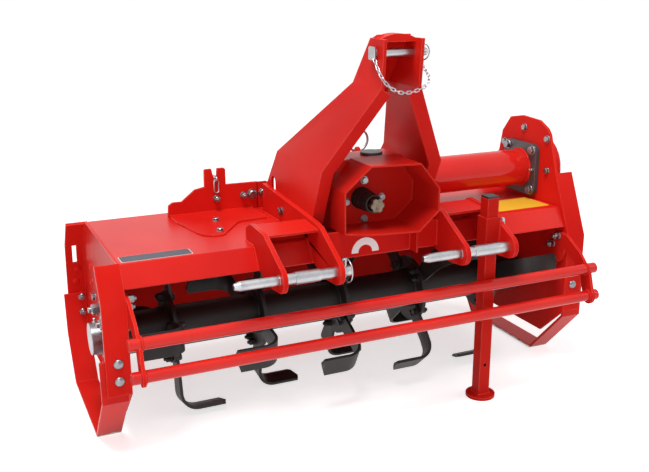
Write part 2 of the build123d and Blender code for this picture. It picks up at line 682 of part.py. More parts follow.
# ---------------------------------------------------------------- front rails
rail_end = half + rail_overhang
for name, (y, z) in (("upper", rail_upper), ("lower", rail_lower)):
    parts["rail_" + name] = rod_x(rail_radius, -rail_end, rail_end, y, z)
arm_line = [(12.0, 396.0), (-48.0, 392.0), (rail_upper[0] + 28.0, rail_upper[1] + 36.0),
            (rail_upper[0] - 14.0, rail_upper[1] - 4.0), (rail_lower[0] - 20.0, rail_lower[1])]
arms = []
for side in (-1, 1):
    x_from, x_to = sorted((side * (half - seat_gap), side * (half - arm_wall)))
    arm = (band(arm_line, arm_width, x_from, x_to)
           + disc_x(arm_plate_radius, x_from, x_to, *arm_plate_place)
           + disc_x(arm_nose_radius, x_from, x_to, *rail_lower))
    for y, z in (rail_upper, rail_lower):
        arm -= disc_x((rail_radius + pin_hole_clearance) / flat_depth, x_from - 1.0,
                      x_to + 1.0, y, z)
    arms.append(arm)
parts["rail_arms"] = Compound(children=arms)

# ---------------------------------------------------------------- parking stand
sleeve_inner = stand_size / 2.0 + stand_clearance
sleeve_outer = sleeve_inner + sleeve_wall
stand_x = hitch_x + bracket_outer - bracket_wall / 2.0 - sleeve_outer
sleeve_low = hood_top - 48.0
parts["stand_sleeve"] = (box((stand_x - sleeve_outer, stand_x + sleeve_outer),
                             (stand_y - sleeve_outer, stand_y + sleeve_outer),
                             (sleeve_low, sleeve_low + sleeve_height))
                         - box((stand_x - sleeve_inner, stand_x + sleeve_inner),
                               (stand_y - sleeve_inner, stand_y + sleeve_inner),
                               (sleeve_low - 1.0, sleeve_low + sleeve_height + 1.0)))
tube_half = stand_size / 2.0
tube_inner = tube_half - stand_wall
foot = upright(ring_points(foot_radius, stand_x, stand_y), 0.0, foot_wall)
parts["stand_leg"] = (box((stand_x - tube_half, stand_x + tube_half),
                          (stand_y - tube_half, stand_y + tube_half), (foot_wall, stand_top))
                      - box((stand_x - tube_inner, stand_x + tube_inner),
                            (stand_y - tube_inner, stand_y + tube_inner),
                            (foot_wall + 4.0, stand_top + 1.0))
                      + foot
                      - rod_y(stand_hole_radius, stand_y - stand_size, stand_y + stand_size,
                              stand_x, stand_hole_z))
parts["stand_cap"] = box((stand_x - tube_half, stand_x + tube_half),
                         (stand_y - tube_half, stand_y + tube_half),
                         (stand_top, stand_top + stand_cap_wall))

# ---------------------------------------------------------------- tailgate
tailgate_pin_y = hood_depth + 17.0
tailgate_pin_z = hood_top - 46.0
parts["tailgate_pin"] = rod_x(tailgate_pin_radius, -half, half, tailgate_pin_y, tailgate_pin_z)
tailgate_half = half - tailgate_side_gap
tailgate_line = [(tailgate_pin_y + 8.0, tailgate_pin_z), (tailgate_pin_y + 62.0, 300.0),
                 (tailgate_pin_y + 102.0, 170.0), (tailgate_pin_y + 107.0, 40.0)]
knuckle_places = [-0.4 * inner_width, -0.13 * inner_width, 0.13 * inner_width,
                  0.4 * inner_width]
tailgate = band(tailgate_line, -tailgate_wall, -tailgate_half, tailgate_half)
knuckle_outline = [(tailgate_pin_y + knuckle_radius * math.cos(math.radians(turn)),
                    tailgate_pin_z + knuckle_radius * math.sin(math.radians(turn)))
                   for turn in range(0, 360, 36)]
for x in knuckle_places:
    tailgate += across(knuckle_outline, x - knuckle_length / 2.0, x + knuckle_length / 2.0)
tailgate -= rod_x(tailgate_pin_radius + journal_clearance, -half, half, tailgate_pin_y,
                  tailgate_pin_z)
parts["tailgate"] = tailgate

# ---------------------------------------------------------------- chain holder on the hood
holder_y = hood_depth - 57.0
notch_x = hitch_x - holder_from_hitch
notch_z = holder_tab_top - 36.0
notch_half = link_bar / 2.0 + link_gap
holder_end = hitch_x - bracket_inner + bracket_wall / 2.0 - 8.0
# outline in the plate's plane: (x from the notch, z), along the top from left to right
holder_edge = [(-134.0, hood_z(holder_y)), (-132.0, 484.0), (-120.0, 492.0), (-95.0, 492.0),
               (-58.0, 521.0), (-31.0, holder_top), (-30.0, holder_tab_top - 2.0),
               (-26.0, holder_tab_top), (-10.0, holder_tab_top), (-notch_half, notch_z),
               (notch_half, notch_z), (6.0, holder_tab_top), (25.0, holder_tab_top),
               (29.0, holder_tab_top - 4.0), (29.0, holder_top + 2.0)]
holder_points = ([(notch_x + x, z) for x, z in holder_edge]
                 + [(holder_end, holder_top + 1.0), (holder_end, hood_z(holder_y))])
holder_plate = along(holder_points, holder_y, holder_y + holder_wall)
# foot that lies on the hood, its front edge rounded: (x from the notch, y from the front)
foot_edge = [(-128.0, holder_y + holder_wall), (-129.0, 290.0), (-118.0, 232.0),
             (-109.0, 168.0), (-100.0, 142.0), (-84.0, 128.0), (-62.0, 126.0), (-48.0, 134.0),
             (12.0, 222.0), (30.0, 232.0), (100.0, 236.0), (100.0, holder_y + holder_wall)]
foot_wall_z = 5.0
slope = [(0.0, hood_z(0.0)), (holder_y + 30.0, hood_z(holder_y + 30.0)),
         (holder_y + 30.0, hood_z(holder_y + 30.0) + foot_wall_z),
         (0.0, hood_z(0.0) + foot_wall_z)]
holder_foot = (upright([(notch_x + x, y) for x, y in foot_edge], hood_top - 20.0,
                       hood_top + 20.0)
               & across(slope, -half, half))
parts["chain_holder"] = holder_plate + holder_foot


# ---------------------------------------------------------------- clips of the hitch pins
clips = []
for x, y, z, ring in ((top_clip_x, top_pin_y, top_pin_z, top_clip_ring),
                      (lower_clip_x, lower_pin_y, lower_pin_z, lower_clip_ring)):
    hoop_x = x + clip_radius + clip_bar + link_gap
    shank = rod_z(clip_radius, z - clip_tail * ring, z + ring, x, y)
    head = box((x - clip_radius, hoop_x + clip_bar), (y - clip_radius, y + clip_radius),
               (z + ring - clip_radius, z + ring + clip_radius))
    hoop = Pos(hoop_x, y, z) * Rot(0, 90, 0) * flat_ring(ring, clip_bar)
    clips.append(shank + head + hoop)
parts["pin_clips"] = Compound(children=clips)


# ---------------------------------------------------------------- chains
def chain_link(bar, length):
    """Long link in the XY plane, its length along X: ring of square bar with cut corners."""
    width = bar * link_width

    def ring(grow):
        x = length / 2.0 - grow
        y = width / 2.0 - grow
        cut = bar * link_corner - grow * (2.0 - math.sqrt(2.0))
        return [(x, y - cut), (x - cut, y), (-x + cut, y), (-x, y - cut), (-x, -y + cut),
                (-x + cut, -y), (x - cut, -y), (x, -y + cut)]

    return upright(ring(0.0), -bar / 2.0, bar / 2.0) - upright(ring(bar), -bar, bar)


def spaced(points, pitch):
    """Places for an odd number of links along a line, no further apart than the pitch."""
    line = [Vector(*point) for point in points]
    lengths = [(b - a).length for a, b in zip(line, line[1:])]
    count = 2 * math.ceil((sum(lengths) / pitch - 1.0) / 2.0) + 1
    places = []
    for index in range(count + 1):
        left = sum(lengths) * index / count
        span = 0
        while span < len(lengths) - 1 and left > lengths[span]:
            left -= lengths[span]
            span += 1
        places.append(line[span] + (line[span + 1] - line[span]) * (left / lengths[span]))
    return places


# the top pin's chain hangs from its tab, passes in front of the cheeks and rises to the clip's
# ring: (x from the hitch, y and z from the pin)
ring_inside = top_clip_ring - clip_bar - link_gap
hoop_from_hitch = top_clip_x - hitch_x + clip_radius + clip_bar + link_gap
top_chain_line = [(tab_middle, tab_eye - 1.0, tab_eye - 1.0), (tab_middle, -24.0, -27.0),
                  (tab_middle + 1.0, -37.0, -42.0), (tab_middle + 5.0, -48.0, -56.0),
                  (-46.0, -53.0, -67.0), (-33.0, -54.0, -76.0), (-17.0, -54.0, -82.0),
                  (0.0, -54.0, -84.0), (17.0, -54.0, -82.0), (33.0, -53.0, -78.0),
                  (48.0, -51.0, -72.0), (59.0, -46.0, -64.0), (66.0, -37.0, -54.0),
                  (hoop_from_hitch, -25.0, -45.0), (hoop_from_hitch, -12.0, -37.0),
                  (hoop_from_hitch, -3.0, -ring_inside - 9.0),
                  (hoop_from_hitch, 0.0, -ring_inside)]
top_pitch = top_link_length - 2.0 * top_link_bar - link_gap
top_places = spaced([(hitch_x + x, top_pin_y + y, top_pin_z + z)
                     for x, y, z in top_chain_line], top_pitch)
top_link = chain_link(top_link_bar, top_link_length)
top_links = []
for index, (start, end) in enumerate(zip(top_places, top_places[1:])):
    run = (end - start).normalized()
    flat = Plane(origin=(start + end) * 0.5, x_dir=run, z_dir=run.cross(Vector(1, 0, 0.01)))
    top_links.append(flat.location * Rot(90.0 * (index % 2), 0, 0) * top_link)
parts["top_pin_chain"] = Compound(children=top_links)

# the tailgate's chain is hooked into the notch: one link through it, the others hang from it
gate_link = chain_link(link_bar, link_length)
gate_drop = notch_z + link_bar + link_gap + link_bar - link_length / 2.0
link_centre_y = holder_y + holder_wall / 2.0
gate_front_y = link_centre_y - link_length / 2.0 + 1.5 * link_bar + link_gap
gate_rear_y = link_centre_y + link_length / 2.0 - 1.5 * link_bar - link_gap
gate_step = link_length - 2.0 * link_bar - link_gap
gate_links = [
    Pos(notch_x, link_centre_y, notch_z + link_bar * link_width / 2.0 + link_gap / 2.0)
    * Rot(0, 90, 0) * Rot(0, 0, 90) * gate_link,
    Pos(notch_x, gate_front_y, gate_drop) * Rot(90, 0, 0) * Rot(0, 0, 90) * gate_link,
    Pos(notch_x, gate_rear_y, gate_drop) * Rot(90, 0, 0) * Rot(0, 0, 90) * gate_link,
    Pos(notch_x, gate_rear_y, gate_drop - gate_step) * Rot(0, 90, 0) * gate_link]
parts["tailgate_chain"] = Compound(children=gate_links)

# ---------------------------------------------------------------- common shift and files
everything = Compound(children=[Pos(0, 0, 0) * piece for piece in parts.values()])
bounds = everything.bounding_box()
shift = Vector(-(bounds.min.X + bounds.max.X) / 2.0, -(bounds.min.Y + bounds.max.Y) / 2.0, 0.0)
os.makedirs("parts", exist_ok=True)
for name, piece in parts.items():
    export_step(Pos(shift.X, shift.Y, shift.Z) * piece, "parts/%s.step" % name)
print("shift", shift, "box", bounds.min, bounds.max)
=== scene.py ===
import bmesh
import bpy
import json
from math import cos, pi, radians, sin
from mathutils import Euler, Matrix, Vector

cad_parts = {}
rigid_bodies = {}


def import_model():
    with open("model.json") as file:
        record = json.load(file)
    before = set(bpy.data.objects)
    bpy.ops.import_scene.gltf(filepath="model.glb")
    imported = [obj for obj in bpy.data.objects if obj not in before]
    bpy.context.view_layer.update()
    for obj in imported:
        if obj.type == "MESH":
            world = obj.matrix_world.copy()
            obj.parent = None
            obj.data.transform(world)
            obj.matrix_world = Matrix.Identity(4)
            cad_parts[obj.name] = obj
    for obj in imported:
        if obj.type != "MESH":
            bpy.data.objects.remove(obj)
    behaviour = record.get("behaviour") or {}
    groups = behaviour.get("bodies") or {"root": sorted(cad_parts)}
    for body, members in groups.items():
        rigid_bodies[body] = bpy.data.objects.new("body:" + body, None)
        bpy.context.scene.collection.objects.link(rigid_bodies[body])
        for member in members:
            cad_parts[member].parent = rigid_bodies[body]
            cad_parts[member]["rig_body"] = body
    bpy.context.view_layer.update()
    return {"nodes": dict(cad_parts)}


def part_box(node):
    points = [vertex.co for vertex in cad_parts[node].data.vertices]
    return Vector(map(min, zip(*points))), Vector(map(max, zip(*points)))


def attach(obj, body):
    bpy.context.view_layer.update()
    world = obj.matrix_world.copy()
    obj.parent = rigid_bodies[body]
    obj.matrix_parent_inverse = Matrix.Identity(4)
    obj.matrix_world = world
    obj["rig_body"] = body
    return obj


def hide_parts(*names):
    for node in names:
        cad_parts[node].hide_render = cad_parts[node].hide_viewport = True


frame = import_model()
scene = bpy.context.scene
scene.view_settings.view_transform = "Standard"

# ------------ studio
# A wide white floor in a white room, a large soft lamp over the left front, two weak ones low in
# front and on the right, and the camera at the height of a standing person's chest.
lip_reach = 0.031                   # how far the hood's lip leans out below its front top edge
hood_low, hood_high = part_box("hood")
middle_x = (hood_low.x + hood_high.x) / 2
front_y = hood_low.y + lip_reach


def spot(x, y, z):
    """A place in metres from millimetres: x from the middle between the end plates, y back
    from the hood's front top edge, z over the ground."""
    return Vector((middle_x + x / 1000, front_y + y / 1000, z / 1000))


def placed(name, data):
    """New object in the scene."""
    item = bpy.data.objects.new(name, data)
    scene.collection.objects.link(item)
    return item


camera = placed("camera", bpy.data.cameras.new("camera"))
scene.camera = camera
camera.data.lens = 48.09
camera.data.sensor_width = 36.0
# in front of the hood's left corner and above it, looking down and to the right
camera.location = spot(-600, 0, 460) + Vector((-0.32887, -1.84014, 0.59938))
camera.rotation_euler = Euler((radians(90 - 16.47), radians(0.22), radians(-24.18)))


class Shade:
    """One output in a tree of nodes. Sums on it add their own nodes."""

    def __init__(self, tree, socket=None):
        self.tree = tree
        self.socket = socket

    def node(self, kind, sockets, output=0, **settings):
        """Adds a node: its settings first, then the values or links of its sockets."""
        made = self.tree.nodes.new(kind if "Node" in kind else "ShaderNode" + kind)
        for name, value in settings.items():
            setattr(made, name, value)
        for name, value in sockets.items():
            if isinstance(value, Shade):
                self.tree.links.new(value.socket, made.inputs[name])
            else:
                made.inputs[name].default_value = value
        return Shade(self.tree, made.outputs[output] if made.outputs else None)

    def maths(self, operation, *values):
        return self.node("Math", dict(enumerate(values)), operation=operation)

    def __add__(self, other):
        return self.maths("ADD", self, other)

    def __radd__(self, other):
        return self.maths("ADD", other, self)

    def __sub__(self, other):
        return self.maths("SUBTRACT", self, other)

    def __rsub__(self, other):
        return self.maths("SUBTRACT", other, self)

    def __mul__(self, other):
        return self.maths("MULTIPLY", self, other)

    def __rmul__(self, other):
        return self.maths("MULTIPLY", other, self)

    def above(self, low, high):
        """0 below the first value, 1 above the second, smooth between them."""
        return self.node("MapRange", {"Value": self, "From Min": low, "From Max": high},
                         interpolation_type="SMOOTHSTEP")

    def blend(self, first, second):
        """The first colour where this is 0, the second where it is 1."""
        return self.node("Mix", {0: self, 6: first, 7: second}, 2, data_type="RGBA")

    def noise(self, place, scale, detail=3.0):
        """Cloudy values round 0.5 over a place."""
        return self.node("TexNoise", {"Vector": place, "Scale": scale, "Detail": detail,
                                      "Roughness": 0.55})

    def stretched(self, place, *scale):
        """The place with each axis multiplied, so that a pattern runs long along one of them."""
        return self.node("VectorMath", {0: place, 1: scale}, operation="MULTIPLY")

    def where(self):
        """The place on the piece, in metres."""
        return self.node("TexCoord", {}, "Object")

    def edges(self, radius):
        """1 along sharp edges, 0 on flat faces."""
        rounded = self.node("Bevel", {"Radius": radius}, samples=4)
        true = self.node("NewGeometry", {}, "True Normal")
        dot = self.node("VectorMath", {0: rounded, 1: true}, "Value", operation="DOT_PRODUCT")
        return (1 - dot).above(0.02, 0.25)

    def bump(self, height, strength, distance):
        """Normal for a height in units of the distance, which is in metres."""
        return self.node("Bump", {"Height": height, "Strength": strength, "Distance": distance})


def rgb(red, green, blue):
    """Opaque colour."""
    return (red, green, blue, 1.0)


def finish_of(name, sockets, fixed):
    """Material: sockets that vary over the surface, and values that are the same all over."""
    material = bpy.data.materials.new(name)
    material.use_nodes = True
    tree = material.node_tree
    surface = tree.nodes["Principled BSDF"]
    for socket, value in fixed.items():
        surface.inputs[socket].default_value = value
    for socket, value in sockets(Shade(tree)).items():
        tree.links.new(value.socket, surface.inputs[socket])
    return material


def seen_directly(shade):
    """1 for rays from the camera, from gloss and through glass."""
    seen, gloss, glass = (shade.node("LightPath", {}, name) for name in
                          ("Is Camera Ray", "Is Glossy Ray", "Is Transmission Ray"))
    return shade.maths("MAXIMUM", seen, shade.maths("MAXIMUM", gloss, glass))


white_floor = bpy.data.materials.new("white floor")
white_floor.use_nodes = True
white_floor.node_tree.nodes.clear()
blank = Shade(white_floor.node_tree)
matt = blank.node("BsdfDiffuse", {"Color": rgb(0.86, 0.86, 0.86)})
glow = blank.node("Emission", {"Color": rgb(1, 1, 1), "Strength": 0.64})
both = blank.node("AddShader", {0: matt, 1: glow})
shown = blank.node("MixShader", {0: seen_directly(blank), 1: matt, 2: both})
blank.node("OutputMaterial", {"Surface": shown})
sheet = bpy.data.meshes.new("floor")
sheet.from_pydata([(-12, -12, 0), (12, -12, 0), (12, 12, 0), (-12, 12, 0)], [], [(0, 1, 2, 3)])
sheet.materials.append(white_floor)
placed("floor", sheet)

world = bpy.data.worlds.new("white room")
scene.world = world
world.use_nodes = True
world.node_tree.nodes.clear()
blank = Shade(world.node_tree)
light = blank.node("Background", {"Color": rgb(1, 1, 1), "Strength": 0.43})
white = blank.node("Background", {"Color": rgb(1, 1, 1), "Strength": 1.0})
shown = blank.node("MixShader", {0: seen_directly(blank), 1: light, 2: white})
blank.node("OutputWorld", {"Surface": shown})

# lamps: place, watts, size
lamps = [((-1.0, -0.9, 4.2), 114, 1.6), ((-1.6, -3.6, 1.3), 14, 1.2), ((3.2, -1.6, 2.0), 15, 1.2)]
lit_place = Vector((0, 0, 0.4))
for place, watts, size in lamps:
    lamp = bpy.data.lights.new("lamp", "AREA")
    lamp.energy = watts
    lamp.size = size
    hung = placed("lamp", lamp)
    hung.location = place
    hung.rotation_euler = (lit_place - Vector(place)).to_track_quat("-Z", "Y").to_euler()

# ------------ red sheet metal
# Hood, end plates, brackets, mast, rails, stand, guard and tailgate: cut and folded steel
# plate under one gloss coat of red enamel, which runs thin and shines along the edges, where a
# paler red is painted in as their highlight.


def enamel(shade, thin=rgb(0.66, 0.012, 0.009), thick=rgb(0.76, 0.020, 0.012)):
    """Cloudy red with orange peel and a little dust, a paler red painted along the edges as their
    highlight, and here and there chipped where it runs thin over an edge."""
    place = shade.where()
    cloud = shade.noise(place, 3.5, 2.0)
    peel = shade.noise(place, 420.0, 2.0)
    edge = shade.edges(0.0035)
    dust = shade.noise(place, 60.0, 4.0).above(0.60, 0.85)
    colour = cloud.above(0.35, 0.7).blend(thin, thick)
    # painted highlight: a paler red along every edge
    colour = (edge * 0.55).blend(colour, rgb(0.93, 0.11, 0.06))
    chip = (edge * shade.noise(place, 240.0, 3.0)).above(0.62, 0.68)
    colour = chip.blend(colour, rgb(0.16, 0.13, 0.12))
    return {"Base Color": colour,
            "Roughness": 0.33 + 0.07 * dust + 0.25 * chip,
            "Coat Weight": 0.8 * edge,
            "Normal": shade.bump(peel, 0.08, 0.0004)}


thin_coat = {"Specular IOR Level": 0.045, "Coat Roughness": 0.12}
red_enamel = finish_of("red enamel", enamel, thin_coat)
broad_enamel = finish_of("broad red enamel", enamel,
                         {"Specular IOR Level": 0.19, "Coat Roughness": 0.12})
dark_enamel = finish_of("dark red enamel", lambda shade: enamel(
    shade, rgb(0.56, 0.012, 0.008), rgb(0.65, 0.018, 0.011)), thin_coat)


def polished(shade):
    """The enamel on round bar and tube, where it runs smooth and shines."""
    sockets = enamel(shade)
    sockets["Coat Weight"] = 0.45 + 0.2 * shade.noise(shade.where(), 6.0, 2.0)
    return sockets


tube_enamel = finish_of("tube enamel", polished,
                        {"Specular IOR Level": 0.045, "Coat Roughness": 0.07})


def fitted(name, mesh, finish, body="machine", smooth=38):
    """Hangs a finished mesh on its body. Folds under the angle in degrees stay smooth."""
    mesh.materials.clear()
    mesh.materials.append(finish)
    mesh.polygons.foreach_set("use_smooth", [True] * len(mesh.polygons))
    mesh.polygons.foreach_set("material_index", [0] * len(mesh.polygons))
    mesh.set_sharp_from_angle(angle=radians(smooth))
    piece = placed(name, mesh)
    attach(piece, body)
    return piece


def edges_rounded(piece, radius):
    """Rounds the sharp edges of a piece by a radius in millimetres."""
    rounding = piece.modifiers.new("rounded edges", "BEVEL")
    rounding.width = radius / 1000
    rounding.segments = 2
    rounding.limit_method = "ANGLE"
    rounding.angle_limit = radians(38)
    rounding.harden_normals = True


def dressed(node, name, finish, edge):
    """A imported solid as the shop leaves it: its triangles welded into one skin, and its sharp
    edges rounded by a radius in millimetres."""
    packed = frame["nodes"][node]
    skin = bmesh.new()
    skin.from_mesh(packed.data)
    bmesh.ops.remove_doubles(skin, verts=skin.verts, dist=1e-6)
    bmesh.ops.dissolve_limit(skin, angle_limit=radians(1), verts=skin.verts,
                             edges=skin.edges)
    mesh = bpy.data.meshes.new(name)
    skin.to_mesh(mesh)
    skin.free()
    if "custom_normal" in mesh.attributes:
        mesh.attributes.remove(mesh.attributes["custom_normal"])
    piece = fitted(name, mesh, finish, packed["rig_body"])
    edges_rounded(piece, edge)
    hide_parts(node)


# radius of the rounded edges of each piece, in millimetres
red_pieces = {
    "hood": 3.5, "end_plate_left": 1.6, "end_plate_drive": 1.6, "drive_case": 2.5,
    "hitch_bracket_left": 2.0, "hitch_bracket_right": 2.0, "front_plate": 1.2,
    "mast_left": 1.8, "mast_right": 1.8, "mast_head": 1.6, "pto_guard": 1.4,
    "drive_tube": 1.5, "rail_upper": 1.0, "rail_lower": 1.0, "rail_arms": 1.5,
    "stand_sleeve": 1.2, "stand_leg": 1.5, "tailgate": 1.2, "chain_holder": 1.4,
    "ring_lug": 1.0}
other_coats = {"hood": broad_enamel, "pto_guard": dark_enamel, "stand_leg": dark_enamel,
               "stand_sleeve": dark_enamel, "drive_tube": tube_enamel,
               "rail_upper": tube_enamel, "rail_lower": tube_enamel}
for node, edge in red_pieces.items():
    dressed(node, node + "_painted", other_coats.get(node, red_enamel), edge)

# ------------ skids
# Runners of bent flat bar under the end plates. The soil keeps their soles bare and bright,
# and the enamel ends in a ragged line above them.


def runner(shade):
    """The enamel, and below a ragged line over the sole bare scratched steel."""
    sockets = enamel(shade)
    place = shade.where()
    height = shade.node("SeparateXYZ", {0: place}, 2)
    ragged = height + 0.012 * shade.noise(place, 45.0, 4.0) + 0.006 * shade.noise(place, 300.0)
    facing_up = shade.node("NewGeometry", {}, "Normal")
    facing_up = shade.node("SeparateXYZ", {0: facing_up}, 2).above(0.5, 0.8)
    worn = (1 - ragged.above(0.0135, 0.0165)) * (1 - facing_up)
    scratches = shade.noise(shade.stretched(place, 500.0, 14.0, 60.0), 1.0, 3.0)
    bare = scratches.blend(rgb(0.30, 0.28, 0.26), rgb(0.55, 0.53, 0.50))
    return {"Base Color": worn.blend(sockets["Base Color"], bare),
            "Roughness": sockets["Roughness"] + worn * (0.10 * scratches),
            "Metallic": worn,
            "Normal": shade.bump(worn * scratches, 0.3, 0.0004)}


worn_enamel = finish_of("enamel with worn sole", runner,
                        {"Specular IOR Level": 0.12, "Coat Roughness": 0.08})
for side in ("left", "right"):
    dressed("skid_" + side, "skid_%s_painted" % side, worn_enamel, 1.6)

# ------------ weld beads
# Fillet welds where plates, tubes and knuckles meet: a row of overlapping ripples laid along
# each seam and painted over with the rest.


def recipe(name, inputs, output):
    """New Geometry Nodes tree: a Shade to start from, then one for each of its named inputs."""
    tree = bpy.data.node_groups.new(name, "GeometryNodeTree")
    for label, kind in inputs.items():
        tree.interface.new_socket(label, in_out="INPUT", socket_type="NodeSocket" + kind)
    tree.interface.new_socket(output, in_out="OUTPUT", socket_type="NodeSocketGeometry")
    given = tree.nodes.new("NodeGroupInput").outputs
    return [Shade(tree)] + [Shade(tree, given[index]) for index in range(len(inputs))]


def made_real(shape, finish):
    """Ends a recipe in plain mesh under one finish, and gives its tree."""
    shape = shape.node("GeometryNodeRealizeInstances", {"Geometry": shape})
    shape = shape.node("GeometryNodeSetMaterial", {"Geometry": shape, "Material": finish})
    shape.tree.links.new(shape.socket, shape.tree.nodes.new("NodeGroupOutput").inputs[0])
    return shape.tree


def weld_tree():
    """Geometry Nodes: a rippled bead along each line of edges."""
    start, seams, width, ripple, seed, finish = recipe(
        "weld bead", {"Seams": "Geometry", "Width": "Float", "Ripple": "Float", "Seed": "Int",
                      "Finish": "Material"}, "Bead")
    line = start.node("GeometryNodeMeshToCurve", {"Mesh": seams})
    line = start.node("GeometryNodeResampleCurve", {"Curve": line, "Length": ripple * 0.25},
                      mode="LENGTH")
    run = start.node("GeometryNodeSplineParameter", {}, "Length")
    wave = start.maths("SINE", start.maths("DIVIDE", run * (2 * pi), ripple))
    place = start.node("GeometryNodeInputPosition", {})
    uneven = start.node("TexNoise", {"Vector": place, "W": seed, "Scale": 90.0, "Detail": 2.0},
                        noise_dimensions="4D")
    line = start.node("GeometryNodeSetCurveRadius",
                      {"Curve": line, "Radius": 0.72 + 0.13 * wave + 0.45 * uneven})
    round_bead = start.node("GeometryNodeCurvePrimitiveCircle",
                            {"Resolution": 8, "Radius": width}, mode="RADIUS")
    bead = start.node("GeometryNodeCurveToMesh",
                      {"Curve": line, "Profile Curve": round_bead, "Fill Caps": True})
    return made_real(bead, finish)


def grown(name, seed_mesh, tree, values, finish, body="machine", smooth=38):
    """Runs a Geometry Nodes tree on a mesh and hangs the plain mesh that it makes. A mesh among
    the values is the pattern that the tree repeats, and goes in as an object."""
    seed = placed(name + "_seed", seed_mesh)
    pattern = bpy.data.objects.new("pattern", seed_mesh)
    grower = seed.modifiers.new("recipe", "NODES")
    grower.node_group = tree
    sockets = {item.name: item.identifier for item in tree.interface.items_tree
               if item.in_out == "INPUT"}
    for label, value in values.items():
        if isinstance(value, bpy.types.Mesh):
            pattern.data = value
            value = pattern
        grower[sockets[label]] = value
    grower[sockets["Finish"]] = finish
    seed.update_tag()
    graph = bpy.context.evaluated_depsgraph_get()
    mesh = bpy.data.meshes.new_from_object(seed.evaluated_get(graph), depsgraph=graph)
    bpy.data.objects.remove(seed)
    bpy.data.objects.remove(pattern)
    mesh.name = name
    for attribute in ("axis", "size", "run"):
        if attribute in mesh.attributes:
            mesh.attributes.remove(mesh.attributes[attribute])
    return fitted(name, mesh, finish, body, smooth)


def seam_mesh(seams):
    """Edges along lists of places."""
    places = []
    edges = []
    for seam in seams:
        edges += [(len(places) + index, len(places) + index + 1)
                  for index in range(len(seam) - 1)]
        places += [spot(*place) for place in seam]
    mesh = bpy.data.meshes.new("seams")
    mesh.from_pydata(places, edges, [])
    return mesh


welds = weld_tree()


def welded(name, seams, radius, ripple, seed, body="machine", finish=red_enamel):
    """Beads along lists of places, with their radius and ripples in millimetres."""
    grown(name, seam_mesh(seams), welds,
          {"Width": radius / 1000, "Ripple": ripple / 1000, "Seed": seed}, finish, body, 60)


def circle(steps):
    """Angles of a whole turn, in equal steps."""
    return [2 * pi * step / steps for step in range(steps)]


def round_x(x, y, z, radius, steps=28):
    """Places on a circle across X, closed on itself."""
    return [(x, y + radius * cos(turn), z + radius * sin(turn))
            for turn in circle(steps) + [2 * pi]]


def hood_at(y):
    """Height of the hood's top, which falls 8 mm on its 421 mm towards the back."""
    return 460 - 8 * y / 421


# brackets on the hood: the middles of their plates, and how far back they reach
seams = []
for plates, rear in (((-142, 190), 309), ((-279.5, 327.5), 56)):
    for x in [middle + face for middle in plates for face in (-6.5, 6.5)]:
        seams.append([(x, 2, 460.5), (x, rear, hood_at(rear) + 0.5)])
        seams.append([(x, -1, 459), (x, -30, 412)])
# front sheet between the brackets and round its rib
seams += [[(x, -46.5, 419), (x, -46.5, 480)] for x in (-135, 105.5, 112.5, 183)]
# chain holder: round its foot, and behind its upright plate
holder_foot = [(-391, 352), (-392, 290), (-381.5, 232), (-372.5, 168), (-363.5, 142),
               (-348, 127.5), (-326, 125.5), (-312, 133.5)]
seams.append([(x, y, hood_at(y) + 1.5) for x, y in holder_foot])
seams.append([(-390, 362.5, 455), (-160, 362.5, 455)])
# cross tube at its flange and at the gearbox, and rails in their arms
tube_y, tube_z = 170, 541
seams += [round_x(x, tube_y, tube_z, 52.5) for x in (585, 117)]
seams += [round_x(side * 591.5, y, z, 15, 16) for side in (-1, 1)
          for y, z in ((-135, 322), (-150, 252))]
# the stand's sleeve on the bracket, and the mast head's inner corners
seams += [[(321, y, 414), (321, y, 481)] for y in (-120.5, -79.5)]
seams += [[(x, -46, 895), (x, -75, 931)] for x in (-19, 67)]
welded("weld_beads_frame", seams, 3.2, 4.2, 3)

foot = [(285, -116, 9), (317, -116, 9), (317, -84, 9), (285, -84, 9)]
welded("weld_beads_foot", [foot + foot[:1]], 2.8, 4.0, 5, "stand")
knuckles = [[(x - 38, 447.5, 407), (x + 38, 447.5, 407)] for x in (-480, -156, 156, 480)]
welded("weld_beads_tailgate", knuckles, 2.6, 4.0, 7, "tailgate")

# ------------ tailgate ribs
# Pressed channels welded upright on the tailgate's rear face, their ends drawn flat.

# y and z on the sheet down a rib, and how far the rib stands out there
rib_stations = [(447.5, 408, 0), (454, 396, 8), (499, 301, 8.5), (531, 197, 8), (535.5, 183, 0)]


def skin_of(rings, closed=False):
    """Skin through rings of points, from one end to the other or back to the first."""
    skin = bmesh.new()
    loops = [[skin.verts.new(point) for point in ring] for ring in rings]
    if closed:
        loops.append(loops[0])
    for first, second in zip(loops, loops[1:]):
        for index in range(len(first)):
            after = (index + 1) % len(first)
            skin.faces.new((first[index], first[after], second[after], second[index]))
    if not closed:
        skin.faces.new(loops[0])
        skin.faces.new(loops[-1])
    bmesh.ops.recalc_face_normals(skin, faces=skin.faces)
    mesh = bpy.data.meshes.new("skin")
    skin.to_mesh(mesh)
    skin.free()
    return mesh


def together(*parts):
    """One mesh from pairs of a mesh and the matrix that places it."""
    whole = bmesh.new()
    for mesh, matrix in parts:
        copy = mesh.copy()
        copy.transform(matrix)
        whole.from_mesh(copy)
        bpy.data.meshes.remove(copy)
    mesh = bpy.data.meshes.new("whole")
    whole.to_mesh(mesh)
    whole.free()
    return mesh


def rib(x):
    """Channel upright on the tailgate at x."""
    rings = []
    for index, (y, z, height) in enumerate(rib_stations):
        before = rib_stations[max(index - 1, 0)]
        after = rib_stations[min(index + 1, len(rib_stations) - 1)]
        run = Vector((0, after[0] - before[0], after[1] - before[1])).normalized()
        out = Vector((0, -run.z, run.y))
        rings.append([spot(x + across, y, z) + out * (lift - 1) / 1000
                      for across, lift in ((-17, 0), (-11, height), (11, height), (17, 0))])
    return skin_of(rings)


ribs = together(*((rib(x), Matrix()) for x in range(-500, 501, 250)))
fitted("tailgate_ribs", ribs, red_enamel, "tailgate")

